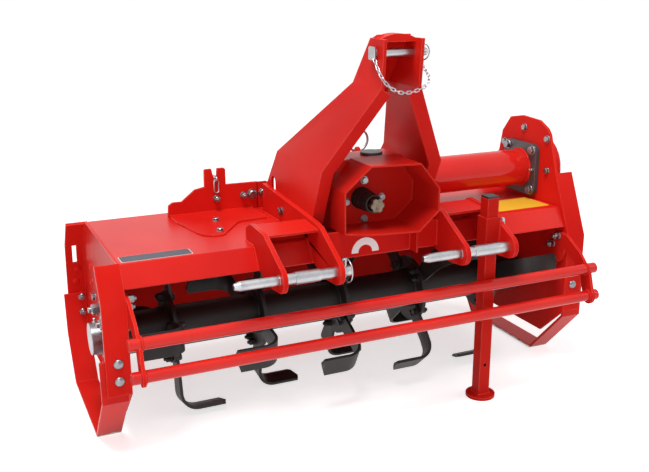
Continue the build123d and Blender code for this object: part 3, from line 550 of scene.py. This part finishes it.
# ------------ gearbox
# Cast iron housing under the same red enamel, with the sand's grain still in its skin, a dark
# grey cover on top, and turned covers with bolts at its back and sides.


def casting(shade):
    """The enamel over the grain of cast iron."""
    place = shade.where()
    grain = shade.noise(place, 260.0, 4.0) + 0.5 * shade.noise(place, 60.0, 2.0)
    edge = shade.edges(0.004)
    cloud = shade.noise(place, 5.0, 2.0)
    deep = cloud.above(0.35, 0.7).blend(rgb(0.60, 0.006, 0.004), rgb(0.72, 0.012, 0.006))
    return {"Base Color": (edge * 0.4).blend(deep, rgb(0.86, 0.055, 0.02)),
            "Roughness": 0.36 + 0.12 * shade.noise(place, 90.0),
            "Normal": shade.bump(grain, 0.35, 0.0009)}


cast_enamel = finish_of("red enamel on cast iron", casting,
                        {"Specular IOR Level": 0.35, "Coat Weight": 0.1, "Coat Roughness": 0.10})
dressed("gearbox", "gearbox_casting", cast_enamel, 4.0)


def turned(radius, height, turn):
    """Place in metres from a radius and height in millimetres and an angle round Z."""
    return (radius * cos(turn) / 1000, radius * sin(turn) / 1000, height / 1000)


def lathed(profile, sides=32):
    """Turned skin about Z from (radius, height) pairs in millimetres, closed at both ends."""
    return skin_of([[turned(*point, turn) for turn in circle(sides)] for point in profile])


def turned_ring(outline, sides=48):
    """Turned ring about Z from an outline of (radius, height) pairs in millimetres."""
    return skin_of([[turned(*point, turn) for point in outline] for turn in circle(sides)], True)


def facing(place, axis):
    """Matrix that puts a skin made along Z at a place, its Z along an axis."""
    turn = Vector(axis).to_track_quat("Z", "Y").to_matrix().to_4x4()
    return Matrix.Translation(spot(*place)) @ turn


left, right, fore, aft, up = (-1, 0, 0), (1, 0, 0), (0, -1, 0), (0, 1, 0), (0, 0, 1)
# turned covers: place, axis, radius, height, radius and height of the boss
covers = [((-68, tube_y, tube_z), left, 62, 9, 26, 14), ((24, 262, tube_z), aft, 56, 9, 24, 13)]
cover_parts = []
for place, axis, radius, height, boss, boss_height in covers:
    profile = [(radius, 0), (radius, height - 1.5), (radius - 1.5, height), (boss + 3, height),
               (boss, height + 2), (boss, boss_height - 1.5), (boss - 1.5, boss_height)]
    cover_parts.append((lathed(profile, 48), facing(place, axis)))
# collar round the cross tube
collar = [(51.5, 0), (70, 0), (70, 9), (68.5, 10.5), (56, 10.5), (53, 14), (51.5, 14)]
cover_parts.append((turned_ring(collar), facing((116, tube_y, tube_z), right)))
fitted("gearbox_covers", together(*cover_parts), cast_enamel)


def grey(shade):
    """Dark grey enamel, paler along the edges."""
    place = shade.where()
    edge = shade.edges(0.002)
    tone = shade.noise(place, 30.0, 3.0).blend(rgb(0.045, 0.045, 0.048), rgb(0.085, 0.085, 0.09))
    return {"Base Color": (edge * 0.5).blend(tone, rgb(0.20, 0.20, 0.21)),
            "Roughness": 0.36 + 0.16 * shade.noise(place, 120.0),
            "Normal": shade.bump(shade.noise(place, 500.0), 0.15, 0.0003)}


grey_enamel = finish_of("dark grey enamel", grey, {"Coat Weight": 0.15})
dressed("gearbox_cover", "gearbox_cover_painted", grey_enamel, 1.5)
dressed("tube_flange", "tube_flange_painted", grey_enamel, 1.5)

# ------------ zinc pins
# Hitch pins, hinge pin and hub: turned steel with a bright zinc plate, faintly streaked round
# the bar by the turning tool.


def zinc(shade, dull=rgb(0.40, 0.41, 0.43), bright=rgb(0.52, 0.52, 0.53)):
    """Zinc plate with a cloudy bloom and the marks of the turning tool."""
    place = shade.where()
    turning = shade.noise(shade.stretched(place, 900.0, 40.0, 40.0), 1.0, 3.0)
    bloom = shade.noise(place, 45.0, 3.0)
    edge = shade.edges(0.0015)
    tone = bloom.above(0.25, 0.75).blend(dull, bright)
    return {"Base Color": (edge * 0.4).blend(tone, rgb(0.72, 0.72, 0.74)),
            "Roughness": 0.24 + 0.10 * bloom + 0.08 * turning,
            "Normal": shade.bump(turning, 0.12, 0.0002)}


zinc_plate = finish_of("zinc plate", zinc, {"Metallic": 1.0})
dull_zinc = finish_of("dull zinc plate", lambda shade: zinc(
    shade, rgb(0.22, 0.22, 0.24), rgb(0.38, 0.38, 0.39)), {"Metallic": 1.0})
plated = (("lower_pin_left", zinc_plate, 0.8), ("lower_pin_right", zinc_plate, 0.8),
          ("tailgate_pin", dull_zinc, 0.6), ("bearing_hub", dull_zinc, 1.5))
for node, finish, edge in plated:
    dressed(node, node + "_plated", finish, edge)


def round_cornered(x_span, y_span, corner, step):
    """Outline of a flat sheet with round corners, in steps of degrees."""
    (x0, x1), (y0, y1) = x_span, y_span
    outline = []
    for x, y, first in ((x1 - corner, y1 - corner, 0), (x0 + corner, y1 - corner, 90),
                        (x0 + corner, y0 + corner, 180), (x1 - corner, y0 + corner, 270)):
        for turn in [radians(angle) for angle in range(first, first + 91, step)]:
            outline.append((x + corner * cos(turn), y + corner * sin(turn)))
    return outline


pin_x, pin_y, pin_z = 24, -106, 903  # middle of the top link's pin
# square tab on the pin's left end, its faces rounded off
tab_rings = [[spot(x, pin_y + y * share, pin_z + z * share)
              for y, z in round_cornered((-15, 15), (-15, 15), 5, 15)]
             for x, share in ((-38, 0.96), (-37.2, 1.0), (-34.8, 1.0), (-34, 0.96))]
bar_profile = [(9.3, 0), (9.5, 1), (9.5, 134), (8.4, 137), (6.0, 139.5), (5.0, 140)]
collar_profile = [(13, 0), (13, 1.4), (12, 2.6), (10.5, 3)]
top_pin = together((skin_of(tab_rings), Matrix()),
                   (lathed(bar_profile, 40), facing((-36, pin_y, pin_z), right)),
                   (lathed(collar_profile, 40), facing((-34, pin_y, pin_z), right)))
top_pin = fitted("top_link_pin_plated", top_pin, zinc_plate)
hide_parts("top_link_pin")

# ------------ clips and lifting ring
# Linch clips: a tapered shank through the pin's cross hole, and a hoop of spring wire that
# snaps over its end. A larger welded ring hangs on the gearbox's lug.


def bar_along(path, radius, normal, closed=False, sides=10):
    """Round bar along places that lie in one plane, in metres."""
    normal = Vector(normal).normalized()
    rings = []
    for index, place in enumerate(path):
        before = path[index - 1] if closed or index else place
        after = path[(index + 1) % len(path)] if closed or index < len(path) - 1 else place
        across = (after - before).normalized().cross(normal)
        rings.append([place + radius * (cos(turn) * across + sin(turn) * normal)
                      for turn in circle(sides)])
    return skin_of(rings, closed)


def hoop(centre, radius, bar, normal, steps=44):
    """Closed ring of round bar, its sizes in millimetres."""
    across = Vector(normal).orthogonal().normalized()
    other = Vector(normal).cross(across)
    path = [spot(*centre) + radius / 1000 * (cos(turn) * across + sin(turn) * other)
            for turn in circle(steps)]
    return bar_along(path, bar / 1000, normal, True, 12)


hoop_offset = 6.2                   # from the clip's shank to its hoop


def linch_clip(x, y, z, ring, normal):
    """Clip through a pin at a place, with its hoop beside it."""
    top = z + ring
    shank = lathed([(1.8, -1.65 * ring), (2.8, -1.65 * ring + 1.2), (4, -1.65 * ring + 5),
                    (4, -5), (4.6, -4.5), (5.2, -3.5), (5.2, 2.6), (4.2, 3.9), (2.6, 4.2)], 20)
    eye = lathed([(2.6, -8.2), (3.4, -7.6), (3.4, -1), (3.2, 0)], 16)
    return together((shank, facing((x, y, top), up)),
                    (eye, facing((x, y, top), right)),
                    (hoop((x + hoop_offset, y, z), ring, 1.7, normal), Matrix()))


top_clip_x = 85
clips = together((linch_clip(top_clip_x, pin_y, pin_z, 19, (0.87, 0.5, 0)), Matrix()),
                 (linch_clip(-124, -155, 425, 27, right), Matrix()))
clips = fitted("linch_clips", clips, zinc_plate)
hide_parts("pin_clips")
lifting = fitted("lifting_ring_round", hoop((96, 230, 646), 30, 3.5, aft, 56), zinc_plate)
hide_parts("lifting_ring")

# ------------ small turned pieces
# Bearing plate behind the hub, locking pin of the parking stand with its pull ring, grease
# nipples and the gearbox's breather: turned steel, painted or zinc plated.
rotor_y, rotor_z = 170, 225
plate = turned_ring([(96, 0), (96, 5), (94.5, 6.5), (58.5, 6.5), (57.5, 5), (57.5, 0)], 56)
plate.transform(facing((-608, rotor_y, rotor_z), left))
fitted("bearing_plate", plate, red_enamel)

knob = lathed([(4, -4), (4, 3), (7, 4), (7, 11), (5.5, 12.5), (3.5, 13)], 24)
nipple = lathed([(5, 0), (5, 4), (3, 4.6), (2.2, 6), (2.2, 9), (3.3, 10.4), (3.3, 11.6), (2, 13),
                 (0.8, 13.4)], 18)
small = together((knob, facing((333.5, -100, 477), right)),
                 (hoop((342.5, -100, 468), 9, 1.3, right, 30), Matrix()),
                 (nipple, facing((586, 108, 543), left)),
                 (nipple, facing((-640, rotor_y, 265), up)))
fitted("small_plated_pieces", small, zinc_plate)

breather = lathed([(11, 0), (11, 5), (7, 6), (7, 13), (12, 14), (12, 22), (10, 24.5), (4, 25)],
                  28)
breather.transform(facing((-20, 175, 604), up))
fitted("gearbox_breather", breather, zinc_plate)

# ------------ chains
# Welded chain of zinc plated round bar. One ties the top link's pin to its clip; of the
# tailgate's chain the links at the holder's notch are there.


def link_of(bar, length, width):
    """Long link of round bar in the XY plane, its length along X, in millimetres."""
    turn_radius = (width - bar) / 2000
    reach = (length - bar) / 2000 - turn_radius
    path = []
    for side in (1, -1):
        path += [Vector((side * (reach + turn_radius * cos(turn)),
                         side * turn_radius * sin(turn), 0))
                 for turn in [radians(angle) for angle in range(-90, 91, 30)]]
    return bar_along(path, bar / 2000, (0, 0, 1), True, 8)


def chain_tree():
    """Geometry Nodes: links along a line, each turned a quarter against the one before."""
    start, line, link, links, finish = recipe(
        "chain", {"Line": "Geometry", "Link": "Object", "Links": "Int", "Finish": "Material"},
        "Chain")
    curve = start.node("GeometryNodeMeshToCurve", {"Mesh": line})
    points = start.node("GeometryNodePoints", {"Count": links})
    index = start.node("GeometryNodeInputIndex", {})
    sample = {"Curves": curve, "Factor": start.maths("DIVIDE", index + 0.5, links)}
    place, run = (start.node("GeometryNodeSampleCurve", sample, output, mode="FACTOR",
                             use_all_curves=True) for output in (1, 2))
    points = start.node("GeometryNodeSetPosition", {"Geometry": points, "Position": place})
    points = start.node("GeometryNodeStoreNamedAttribute",
                        {"Geometry": points, "Name": "run", "Value": run},
                        data_type="FLOAT_VECTOR")
    run = start.node("GeometryNodeInputNamedAttribute", {"Name": "run"},
                     data_type="FLOAT_VECTOR")
    flat = start.node("VectorMath", {0: run, 1: (1, 0, 0.01)}, operation="CROSS_PRODUCT")
    turn = start.node("FunctionNodeAlignRotationToVector", {"Vector": run}, axis="X")
    turn = start.node("FunctionNodeAlignRotationToVector", {"Rotation": turn, "Vector": flat},
                      axis="Z", pivot_axis="X")
    quarter = start.maths("MODULO", index, 2.0) * (pi / 2)
    roll = start.node("CombineXYZ", {"X": quarter})
    roll = start.node("FunctionNodeEulerToRotation", {0: roll})
    turn = start.node("FunctionNodeRotateRotation", {"Rotation": turn, "Rotate By": roll},
                      rotation_space="LOCAL")
    shape = start.node("GeometryNodeObjectInfo", {"Object": link}, "Geometry")
    chain = start.node("GeometryNodeInstanceOnPoints",
                       {"Points": points, "Instance": shape, "Rotation": turn})
    return made_real(chain, finish)


# from the pin's tab round the front of the cheeks to the clip's hoop, from the pin's middle
hoop_x = top_clip_x + hoop_offset - pin_x
hoop_inside = 16.8
chain_line = [(-60, -11, -11), (-60, -22, -25), (-59, -37, -42), (-55, -48, -56),
              (-46, -53, -67), (-33, -54, -76), (-17, -54, -82), (0, -54, -84), (17, -54, -82),
              (33, -53, -78), (48, -51, -72), (59, -46, -64), (66, -37, -54),
              (hoop_x, -25, -45), (hoop_x, -12, -37), (hoop_x, -3, -hoop_inside - 9),
              (hoop_x, 0, -hoop_inside)]
top_chain = grown("top_chain_welded",
                  seam_mesh([[(pin_x + x, pin_y + y, pin_z + z) for x, y, z in chain_line]]),
                  chain_tree(), {"Link": link_of(2.3, 15.6, 8.6), "Links": 25}, zinc_plate)
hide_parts("top_pin_chain")

bar, length, width, play = 4.5, 40, 17.1, 0.2
gate_link = link_of(bar, length, width)
notch_x, notch_y, notch_z = -264, 368, 538
beside = length / 2 - bar - 2 * play - bar / 2      # from the notch to the links beside it
hang = notch_z + 2 * (bar + play) - length / 2
quarter_x, quarter_y, quarter_z = (Matrix.Rotation(pi / 2, 4, axis) for axis in "XYZ")
gate_parts = [
    ((notch_x, notch_y, notch_z + width / 2 + play), quarter_y @ quarter_z),
    ((notch_x, notch_y - beside, hang), quarter_x @ quarter_z),
    ((notch_x, notch_y + beside, hang), quarter_x @ quarter_z),
    ((notch_x, notch_y + beside, hang - length + 2 * (bar + play)), quarter_y)]
gate_chain = together(*((gate_link, Matrix.Translation(spot(*place)) @ turn)
                        for place, turn in gate_parts))
gate_chain = fitted("gate_chain_welded", gate_chain, zinc_plate)
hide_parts("tailgate_chain")

# ------------ splined shaft and boot
# Machined, oiled steel stub with six splines in a black moulded boot.


def oiled(shade):
    """Bare steel with turning marks across the bar and brown oil on it."""
    place = shade.where()
    turning = shade.noise(shade.stretched(place, 60.0, 1500.0, 60.0), 1.0, 2.0)
    oil = shade.noise(place, 50.0, 3.0).above(0.35, 0.65)
    return {"Base Color": oil.blend(rgb(0.22, 0.17, 0.13), rgb(0.07, 0.045, 0.035)),
            "Roughness": 0.28 + 0.2 * turning,
            "Normal": shade.bump(turning, 0.15, 0.0002)}


oiled_steel = finish_of("oiled steel", oiled, {"Metallic": 1.0})
dressed("pto_shaft", "splined_stub", oiled_steel, 0.4)


def moulded(shade):
    """Black plastic with a fine grain, greyer along its edges."""
    place = shade.where()
    edge = shade.edges(0.0015)
    return {"Base Color": (edge * 0.6).blend(rgb(0.010, 0.010, 0.011), rgb(0.05, 0.05, 0.05)),
            "Roughness": 0.42 + 0.15 * shade.noise(place, 150.0),
            "Normal": shade.bump(shade.noise(place, 700.0, 2.0), 0.2, 0.0003)}


black_moulding = finish_of("black moulding", moulded, {})
boot = turned_ring([
    (18.9, 0), (27, 0), (27, 5), (25.4, 7), (25.4, 11), (26.4, 13), (26.2, 17), (24.8, 19),
    (24.8, 23), (25.7, 25), (25.5, 29), (24.2, 31), (24.2, 35), (25.0, 37), (24.8, 41),
    (23.6, 43), (23.2, 60), (22, 71), (21, 72), (18.9, 72)])
boot.transform(facing((-8, 0, 549), fore))
boot = fitted("shaft_boot_ribbed", boot, black_moulding, smooth=30)
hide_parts("shaft_boot")
dressed("stand_cap", "stand_cap_moulded", black_moulding, 1.2)

# ------------ rotor
# Tube with five flanges, painted black. Each flange carries four forged blades, two to each
# side, and each flange is turned a step further, so that the edges run in a spiral.


def rotor_paint(shade):
    """Black paint rubbed down to bare steel along the edges."""
    place = shade.where()
    edge = shade.edges(0.003)
    cloud = shade.noise(place, 14.0, 3.0)
    tone = cloud.blend(rgb(0.008, 0.007, 0.007), rgb(0.020, 0.016, 0.015))
    rub = (edge * shade.noise(place, 90.0, 3.0)).above(0.35, 0.6)
    return {"Base Color": rub.blend(tone, rgb(0.10, 0.09, 0.085)),
            "Roughness": 0.36 + 0.22 * cloud,
            "Metallic": 0.6 * rub,
            "Normal": shade.bump(shade.noise(place, 330.0, 4.0), 0.25, 0.0005)}


black_paint = finish_of("black paint", rotor_paint, {"Specular IOR Level": 0.4})
dressed("rotor_shaft", "rotor_shaft_painted", black_paint, 1.2)

flange_pitch = 230
flange_places = [flange_pitch * step for step in range(-2, 3)]
flange_face = 5                     # from the middle of a flange
blade_wall = 8.0
bend_x, bend_z = 51.1, 170.9        # middle of the bend, from the flange and the axis
bend_out = 46.0
grind = 15.0                        # width of the ground bevel along the cutting edge
grind_wall = 1.6


def blade():
    """Right-hand blade upright over the axis: sections across a bent strip of steel, its front
    edge ground thin from the bend to the tip."""
    # up the stem in millimetres, round the bend in degrees, and out along shares of the wing
    stations = [("stem", height) for height in (60, 92, 120, 126, 150, 162)]
    stations += [("bend", angle) for angle in range(0, 91, 9)]
    stations += [("wing", share) for share in (0.25, 0.6, 0.9, 1.0)]
    rings = []
    for part, along in stations:
        turn = radians({"stem": 0, "bend": along, "wing": 90}[part])
        height = along if part == "stem" else bend_z + bend_out * sin(turn)
        front = -16 - 6 * min(height - 60, 60) / 60 - 8 * max(height - 120, 0) / 97
        rear = 24 + 6 * min(height - 60, 66) / 66
        ground = min(max((height - 100) / 50, 0), 1)
        edge_wall = blade_wall - ground * (blade_wall - grind_wall)
        section = []
        for y, depth in ((front, 0), (front + grind, 0), (16.0, 0), (rear, 0),
                         (rear, blade_wall), (16.0, blade_wall), (front + grind, blade_wall),
                         (front, edge_wall)):
            radius = bend_out - depth
            x = bend_x - radius * cos(turn)
            z = along if part == "stem" else bend_z + radius * sin(turn)
            if part == "wing":
                tip = 111 + 14 * (y + 30) / 46 if y < 16 else 125 - 6 * (y - 16) / 14
                x = bend_x + (tip - bend_x) * along
            section.append((x / 1000, y / 1000, z / 1000))
        rings.append(section)
    return skin_of(rings)


def rotor_tree():
    """Geometry Nodes: pairs of blades on every flange, each flange turned by the step."""
    start, axis, shape, flanges, pitch, first, step, finish = recipe(
        "spiral of blades", {"Axis": "Geometry", "Blade": "Object", "Flanges": "Int",
                             "Pitch": "Float", "First angle": "Float", "Step": "Float",
                             "Finish": "Material"}, "Blades")
    points = start.node("GeometryNodePoints", {"Count": flanges * 2})
    index = start.node("GeometryNodeInputIndex", {})
    flange = start.maths("FLOOR", index * 0.5)
    half_turn = start.maths("MODULO", index, 2.0) * pi
    angle = first + step * flange + half_turn
    place = start.node("GeometryNodeInputPosition", {})
    middle = start.node("GeometryNodeSampleIndex", {"Geometry": axis, "Index": 0, "Value": place},
                        data_type="FLOAT_VECTOR")
    along = start.node("CombineXYZ", {"X": pitch * (flange - (flanges - 1) * 0.5)})
    place = start.node("VectorMath", {0: middle, 1: along}, operation="ADD")
    points = start.node("GeometryNodeSetPosition", {"Geometry": points, "Position": place})
    turn = start.node("CombineXYZ", {"X": angle})
    turn = start.node("FunctionNodeEulerToRotation", {0: turn})
    shape = start.node("GeometryNodeObjectInfo", {"Object": shape}, "Geometry")
    blades = start.node("GeometryNodeInstanceOnPoints",
                        {"Points": points, "Instance": shape, "Rotation": turn})
    return made_real(blades, finish)


first_angle, step_angle = 78, 20    # degrees: the first flange's turn, and the next ones' step
spiral = rotor_tree()
right_blade = blade()
left_blade = right_blade.copy()
left_blade.transform(Matrix.Diagonal((-1, 1, 1, 1)))
left_blade.flip_normals()
for hand, shape, quarter in (("left", left_blade, 0), ("right", right_blade, 90)):
    blades = grown("blades_" + hand,
                   seam_mesh([[(0, rotor_y, rotor_z), (0, rotor_y, rotor_z + 1)]]), spiral,
                   {"Blade": shape, "Flanges": len(flange_places),
                    "Pitch": flange_pitch / 1000, "First angle": radians(first_angle + quarter),
                    "Step": radians(step_angle)}, black_paint, "rotor", 30)
    edges_rounded(blades, 0.8)
    if hand == "left":
        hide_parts(*("blades_%d" % number for number in range(1, 6)))
rotor_seams = [round_x(x + side * flange_face, rotor_y, rotor_z, 53, 36) for x in flange_places
               for side in (-1, 1)]
welded("weld_beads_rotor", rotor_seams, 3.4, 5.0, 11, "rotor", black_paint)

# ------------ bolts and nuts
# Zinc plated hexagon bolts and nuts on washers, turned as the spanner left them, and cup heads
# where the soil runs past. Those on the blades, and the skids' rear and side ones, are painted
# over.


def fastener_tree():
    """Geometry Nodes: one fastener at each point, along its axis, with a chance spin."""
    start, places, shape, seed, finish = recipe(
        "fasteners", {"Places": "Geometry", "Fastener": "Object", "Seed": "Int",
                      "Finish": "Material"}, "Fasteners")
    axis = start.node("GeometryNodeInputNamedAttribute", {"Name": "axis"},
                      data_type="FLOAT_VECTOR")
    size = start.node("GeometryNodeInputNamedAttribute", {"Name": "size"}, data_type="FLOAT")
    turn = start.node("FunctionNodeAlignRotationToVector", {"Vector": axis}, axis="Z")
    spin = start.node("FunctionNodeRandomValue", {2: 0.0, 3: 2 * pi, "Seed": seed}, 1,
                      data_type="FLOAT")
    spin = start.node("CombineXYZ", {"Z": spin})
    spin = start.node("FunctionNodeEulerToRotation", {0: spin})
    turn = start.node("FunctionNodeRotateRotation", {"Rotation": turn, "Rotate By": spin},
                      rotation_space="LOCAL")
    shape = start.node("GeometryNodeObjectInfo", {"Object": shape}, "Geometry")
    made = start.node("GeometryNodeInstanceOnPoints",
                      {"Points": places, "Instance": shape, "Rotation": turn, "Scale": size})
    return made_real(made, finish)


def hexagon(turn):
    """Radius of a hexagon of one millimetre across its flats, at an angle."""
    return 0.5 / cos((turn + pi / 6) % (pi / 3) - pi / 6)


def fastener(stud):
    """Hexagon head or nut of one millimetre across its flats, on a washer, chamfered to a
    circle on top; a nut has the bolt's end in it."""
    turns = circle(24)
    height = 0.95 if stud else 0.56
    corners = [hexagon(turn) for turn in turns]
    rings = [[(0.66, 0.0)] * 24, [(0.66, 0.09)] * 24, [(0.64, 0.12)] * 24,
             [(corner - 0.01, 0.12) for corner in corners],
             [(corner, 0.15) for corner in corners],
             [(corner, height - 1.1 * (corner - 0.47)) for corner in corners],
             [(0.46, height)] * 24]
    if stud:
        rings += [[(0.30, height)] * 24, [(0.30, height + 0.26)] * 24,
                  [(0.25, height + 0.32)] * 24]
    return skin_of([[turned(*point, turn) for turn, point in zip(turns, ring)]
                    for ring in rings])


def cup_head():
    """Low round head of one millimetre across."""
    return lathed([(0.5, 0), (0.5, 0.04), (0.46, 0.12), (0.36, 0.20), (0.2, 0.255), (0.05, 0.27)],
                  24)


fastener_shapes = {"head": fastener(False), "nut": fastener(True), "cup": cup_head()}
fasteners = fastener_tree()


def fastened(name, shape, rows, body="machine", finish=dull_zinc):
    """Like fasteners on one body, from rows of place, axis and size in millimetres."""
    mesh = bpy.data.meshes.new("places")
    mesh.from_pydata([spot(*place) for place, _, _ in rows], [], [])
    axes = mesh.attributes.new("axis", "FLOAT_VECTOR", "POINT")
    axes.data.foreach_set("vector", [value for _, axis, _ in rows for value in axis])
    sizes = mesh.attributes.new("size", "FLOAT", "POINT")
    sizes.data.foreach_set("value", [size for _, _, size in rows])
    grown(name, mesh, fasteners, {"Fastener": fastener_shapes[shape], "Seed": 4}, finish, body, 30)


def ring_of(place, axis, radius, count, size, first=0.0):
    """Rows for fasteners on a circle round an axis."""
    around = Vector(axis).to_track_quat("Z", "Y").to_matrix()
    rows = []
    for turn in circle(count):
        offset = Vector((radius * cos(first + turn), radius * sin(first + turn), 0))
        rows.append((tuple(Vector(place) + around @ offset), axis, size))
    return rows


# back plate of the guard, round the shaft
heads = [((x, -4, z), fore, 15) for x, z in ((-50, 544), (-1, 497), (46, 547), (-1, 593))]
# cross tube's flange, and the tall end plate round it
heads += [((586, tube_y + y, tube_z + z), left, 20) for y in (-56.5, 56.5) for z in (-56.5, 56.5)]
heads += [((600, y, z), left, 15) for y, z in ((171, 654), (61, 548), (262, 600), (67, 636))]
# outer faces of the end plates
plate_bolts = ((335, 272), (338, 229), (300, 140))
heads += [((-608, y, z), left, 17) for y, z in plate_bolts]
heads += [((608, y, z), right, 17) for y, z in plate_bolts + ((60, 140),)]
# hub, gearbox covers and the collar round the cross tube
heads += ring_of((-620, rotor_y, rotor_z), left, 48, 6, 11, 1.57)
heads += ring_of((-77, tube_y, tube_z), left, 50, 6, 12, 0.2)
heads += ring_of((24, 271, tube_z), aft, 44, 6, 12)
heads += ring_of((126.5, tube_y, tube_z), right, 62, 8, 9, 0.2)
# chain holder, its foot on the hood, and the bracket's plate beside it
heads += [((-161, 364, 494), fore, 22), ((-131, 364, 496), fore, 17), ((-299, 257, 460), up, 15),
          ((-320, 153, 462), up, 15), ((-148, 174, 489), left, 17)]
# rim of the drive case: down its straight sides, and round both ends
rim = 102
case_rim = [(tube_y - side * rim, z) for side in (-1, 1) for z in (260, 340, 420, 500)]
case_rim += [(tube_y + rim * cos(turn), middle + side * rim * sin(turn))
             for middle, side in ((tube_z, 1), (rotor_z, -1))
             for turn in (0.52, 1.05, 1.57, 2.09, 2.62)]
heads += [((614, y, z), right, 8.4) for y, z in case_rim]
fastened("bolt_heads", "head", heads)

# chain holder, rail arms, skids and bearing plate
nuts = [((x, 364, z), fore, 15) for x, z in ((-263, 491), (-186, 493))]
nuts += [((side * 592, y, z), (-side, 0, 0), 16) for side in (-1, 1)
         for y, z in ((-16, 383), (4, 356))]
nuts += [((side * 622, y, z), fore, 17) for side in (-1, 1)
         for y, z in ((500.6, 222), (498.9, 179))]
nuts += ring_of((-614.5, rotor_y, rotor_z), left, 77, 4, 24, pi / 4)
fastened("nuts", "nut", nuts)

# cup heads: on the skids' front flanges, and painted ones at the back and on the end plates
cups = [((side * 627, -48, z), fore, 23) for side in (-1, 1) for z in (245, 203)]
fastened("cup_heads", "cup", cups)
painted = [((side * x, y, z), fore, 19) for side in (-1, 1)
           for x, y, z in ((632, 497.3, 267), (626, 491.2, 305))]
painted += [((side * 608, y, z), (side, 0, 0), 19) for side in (-1, 1)
            for y, z in ((365, 345), (367, 302), (388, 217))]
fastened("painted_heads", "cup", painted, finish=red_enamel)

blade_heads = []
blade_nuts = []
blade_holes = ((-6, 74), (15, 78))  # y and z from the axis on an upright blade
for index, x in enumerate(flange_places):
    for side, quarter in ((-1, 0), (1, 90)):
        for half_turn in (0, 180):
            turn = radians(first_angle + step_angle * index + quarter + half_turn)
            for y, z in blade_holes:
                place_y = rotor_y + y * cos(turn) - z * sin(turn)
                place_z = rotor_z + y * sin(turn) + z * cos(turn)
                head_x = x + side * (flange_face + blade_wall + 0.1)
                blade_heads.append(((head_x, place_y, place_z), (side, 0, 0), 15))
                blade_nuts.append(((x - side * flange_face, place_y, place_z), (-side, 0, 0), 15))
fastened("blade_bolts", "head", blade_heads, "rotor", black_paint)
fastened("blade_nuts", "nut", blade_nuts, "rotor", black_paint)

# ------------ holder's tail
# Short strip of the same plate that carries the chain holder on to the mast's foot, welded
# and painted with it.
tail_low, tail_top = hood_at(368) - 1.5, 526
tail_outline = [(-146, tail_low), (-112, tail_low), (-112, tail_top - 5), (-117, tail_top),
                (-146, tail_top)]
tail = skin_of([[spot(x, y, z) for x, z in tail_outline] for y in (364, 372)])
fitted("chain_holder_tail", tail, red_enamel, smooth=20)

# ------------ blank labels
# Vinyl labels on the hood and the front sheet, left blank: thin sheets with round corners.


def vinyl(name, colour):
    """Finish of a label in a colour, a little paler in places."""
    def sheet(shade):
        place = shade.where()
        mottle = shade.noise(place, 35.0, 3.0)
        paler = tuple(min(1.0, value * 1.12 + 0.01) for value in colour[:3]) + (1.0,)
        return {"Base Color": mottle.blend(colour, paler),
                "Roughness": 0.32 + 0.15 * mottle,
                "Normal": shade.bump(shade.noise(place, 260.0), 0.06, 0.0003)}
    return finish_of(name, sheet, {"Specular IOR Level": 0.4})


def label(name, outline, lift, finish):
    """Thin sheet with an outline of places, lifted by a vector of millimetres."""
    low = [spot(*place) for place in outline]
    high = [place + Vector(lift) / 1000 for place in low]
    return fitted(name, skin_of([low, high]), finish, smooth=20)


def on_hood(x_span, y_span, corner):
    """Outline of a label with round corners that lies on the hood."""
    return [(x, y, hood_at(y) - 0.2) for x, y in round_cornered(x_span, y_span, corner, 18)]


white_vinyl = vinyl("white vinyl", rgb(0.93, 0.93, 0.93))
label("label_dark_rim", on_hood((-594, -430), (8, 54), 4.5), (0, 0, 0.45), white_vinyl)
label("label_dark", on_hood((-592.6, -431.4), (9.4, 52.6), 4), (0, 0, 0.8),
      vinyl("dark vinyl", rgb(0.035, 0.04, 0.06)))
label("label_yellow", on_hood((420, 588), (24, 132), 5), (0, 0, 0.6),
      vinyl("yellow vinyl", rgb(0.86, 0.52, 0.03)))
# arched label on the front sheet: out round its rim and back round its inside
arch = [(-17 + radius * cos(turn), -44.8, 424 + radius * sin(turn))
        for radius, angles in ((37, range(0, 181, 12)), (19, range(180, -1, -12)))
        for turn in [radians(angle) for angle in angles]]
label("label_arch", arch, (0, -0.5, 0), white_vinyl)
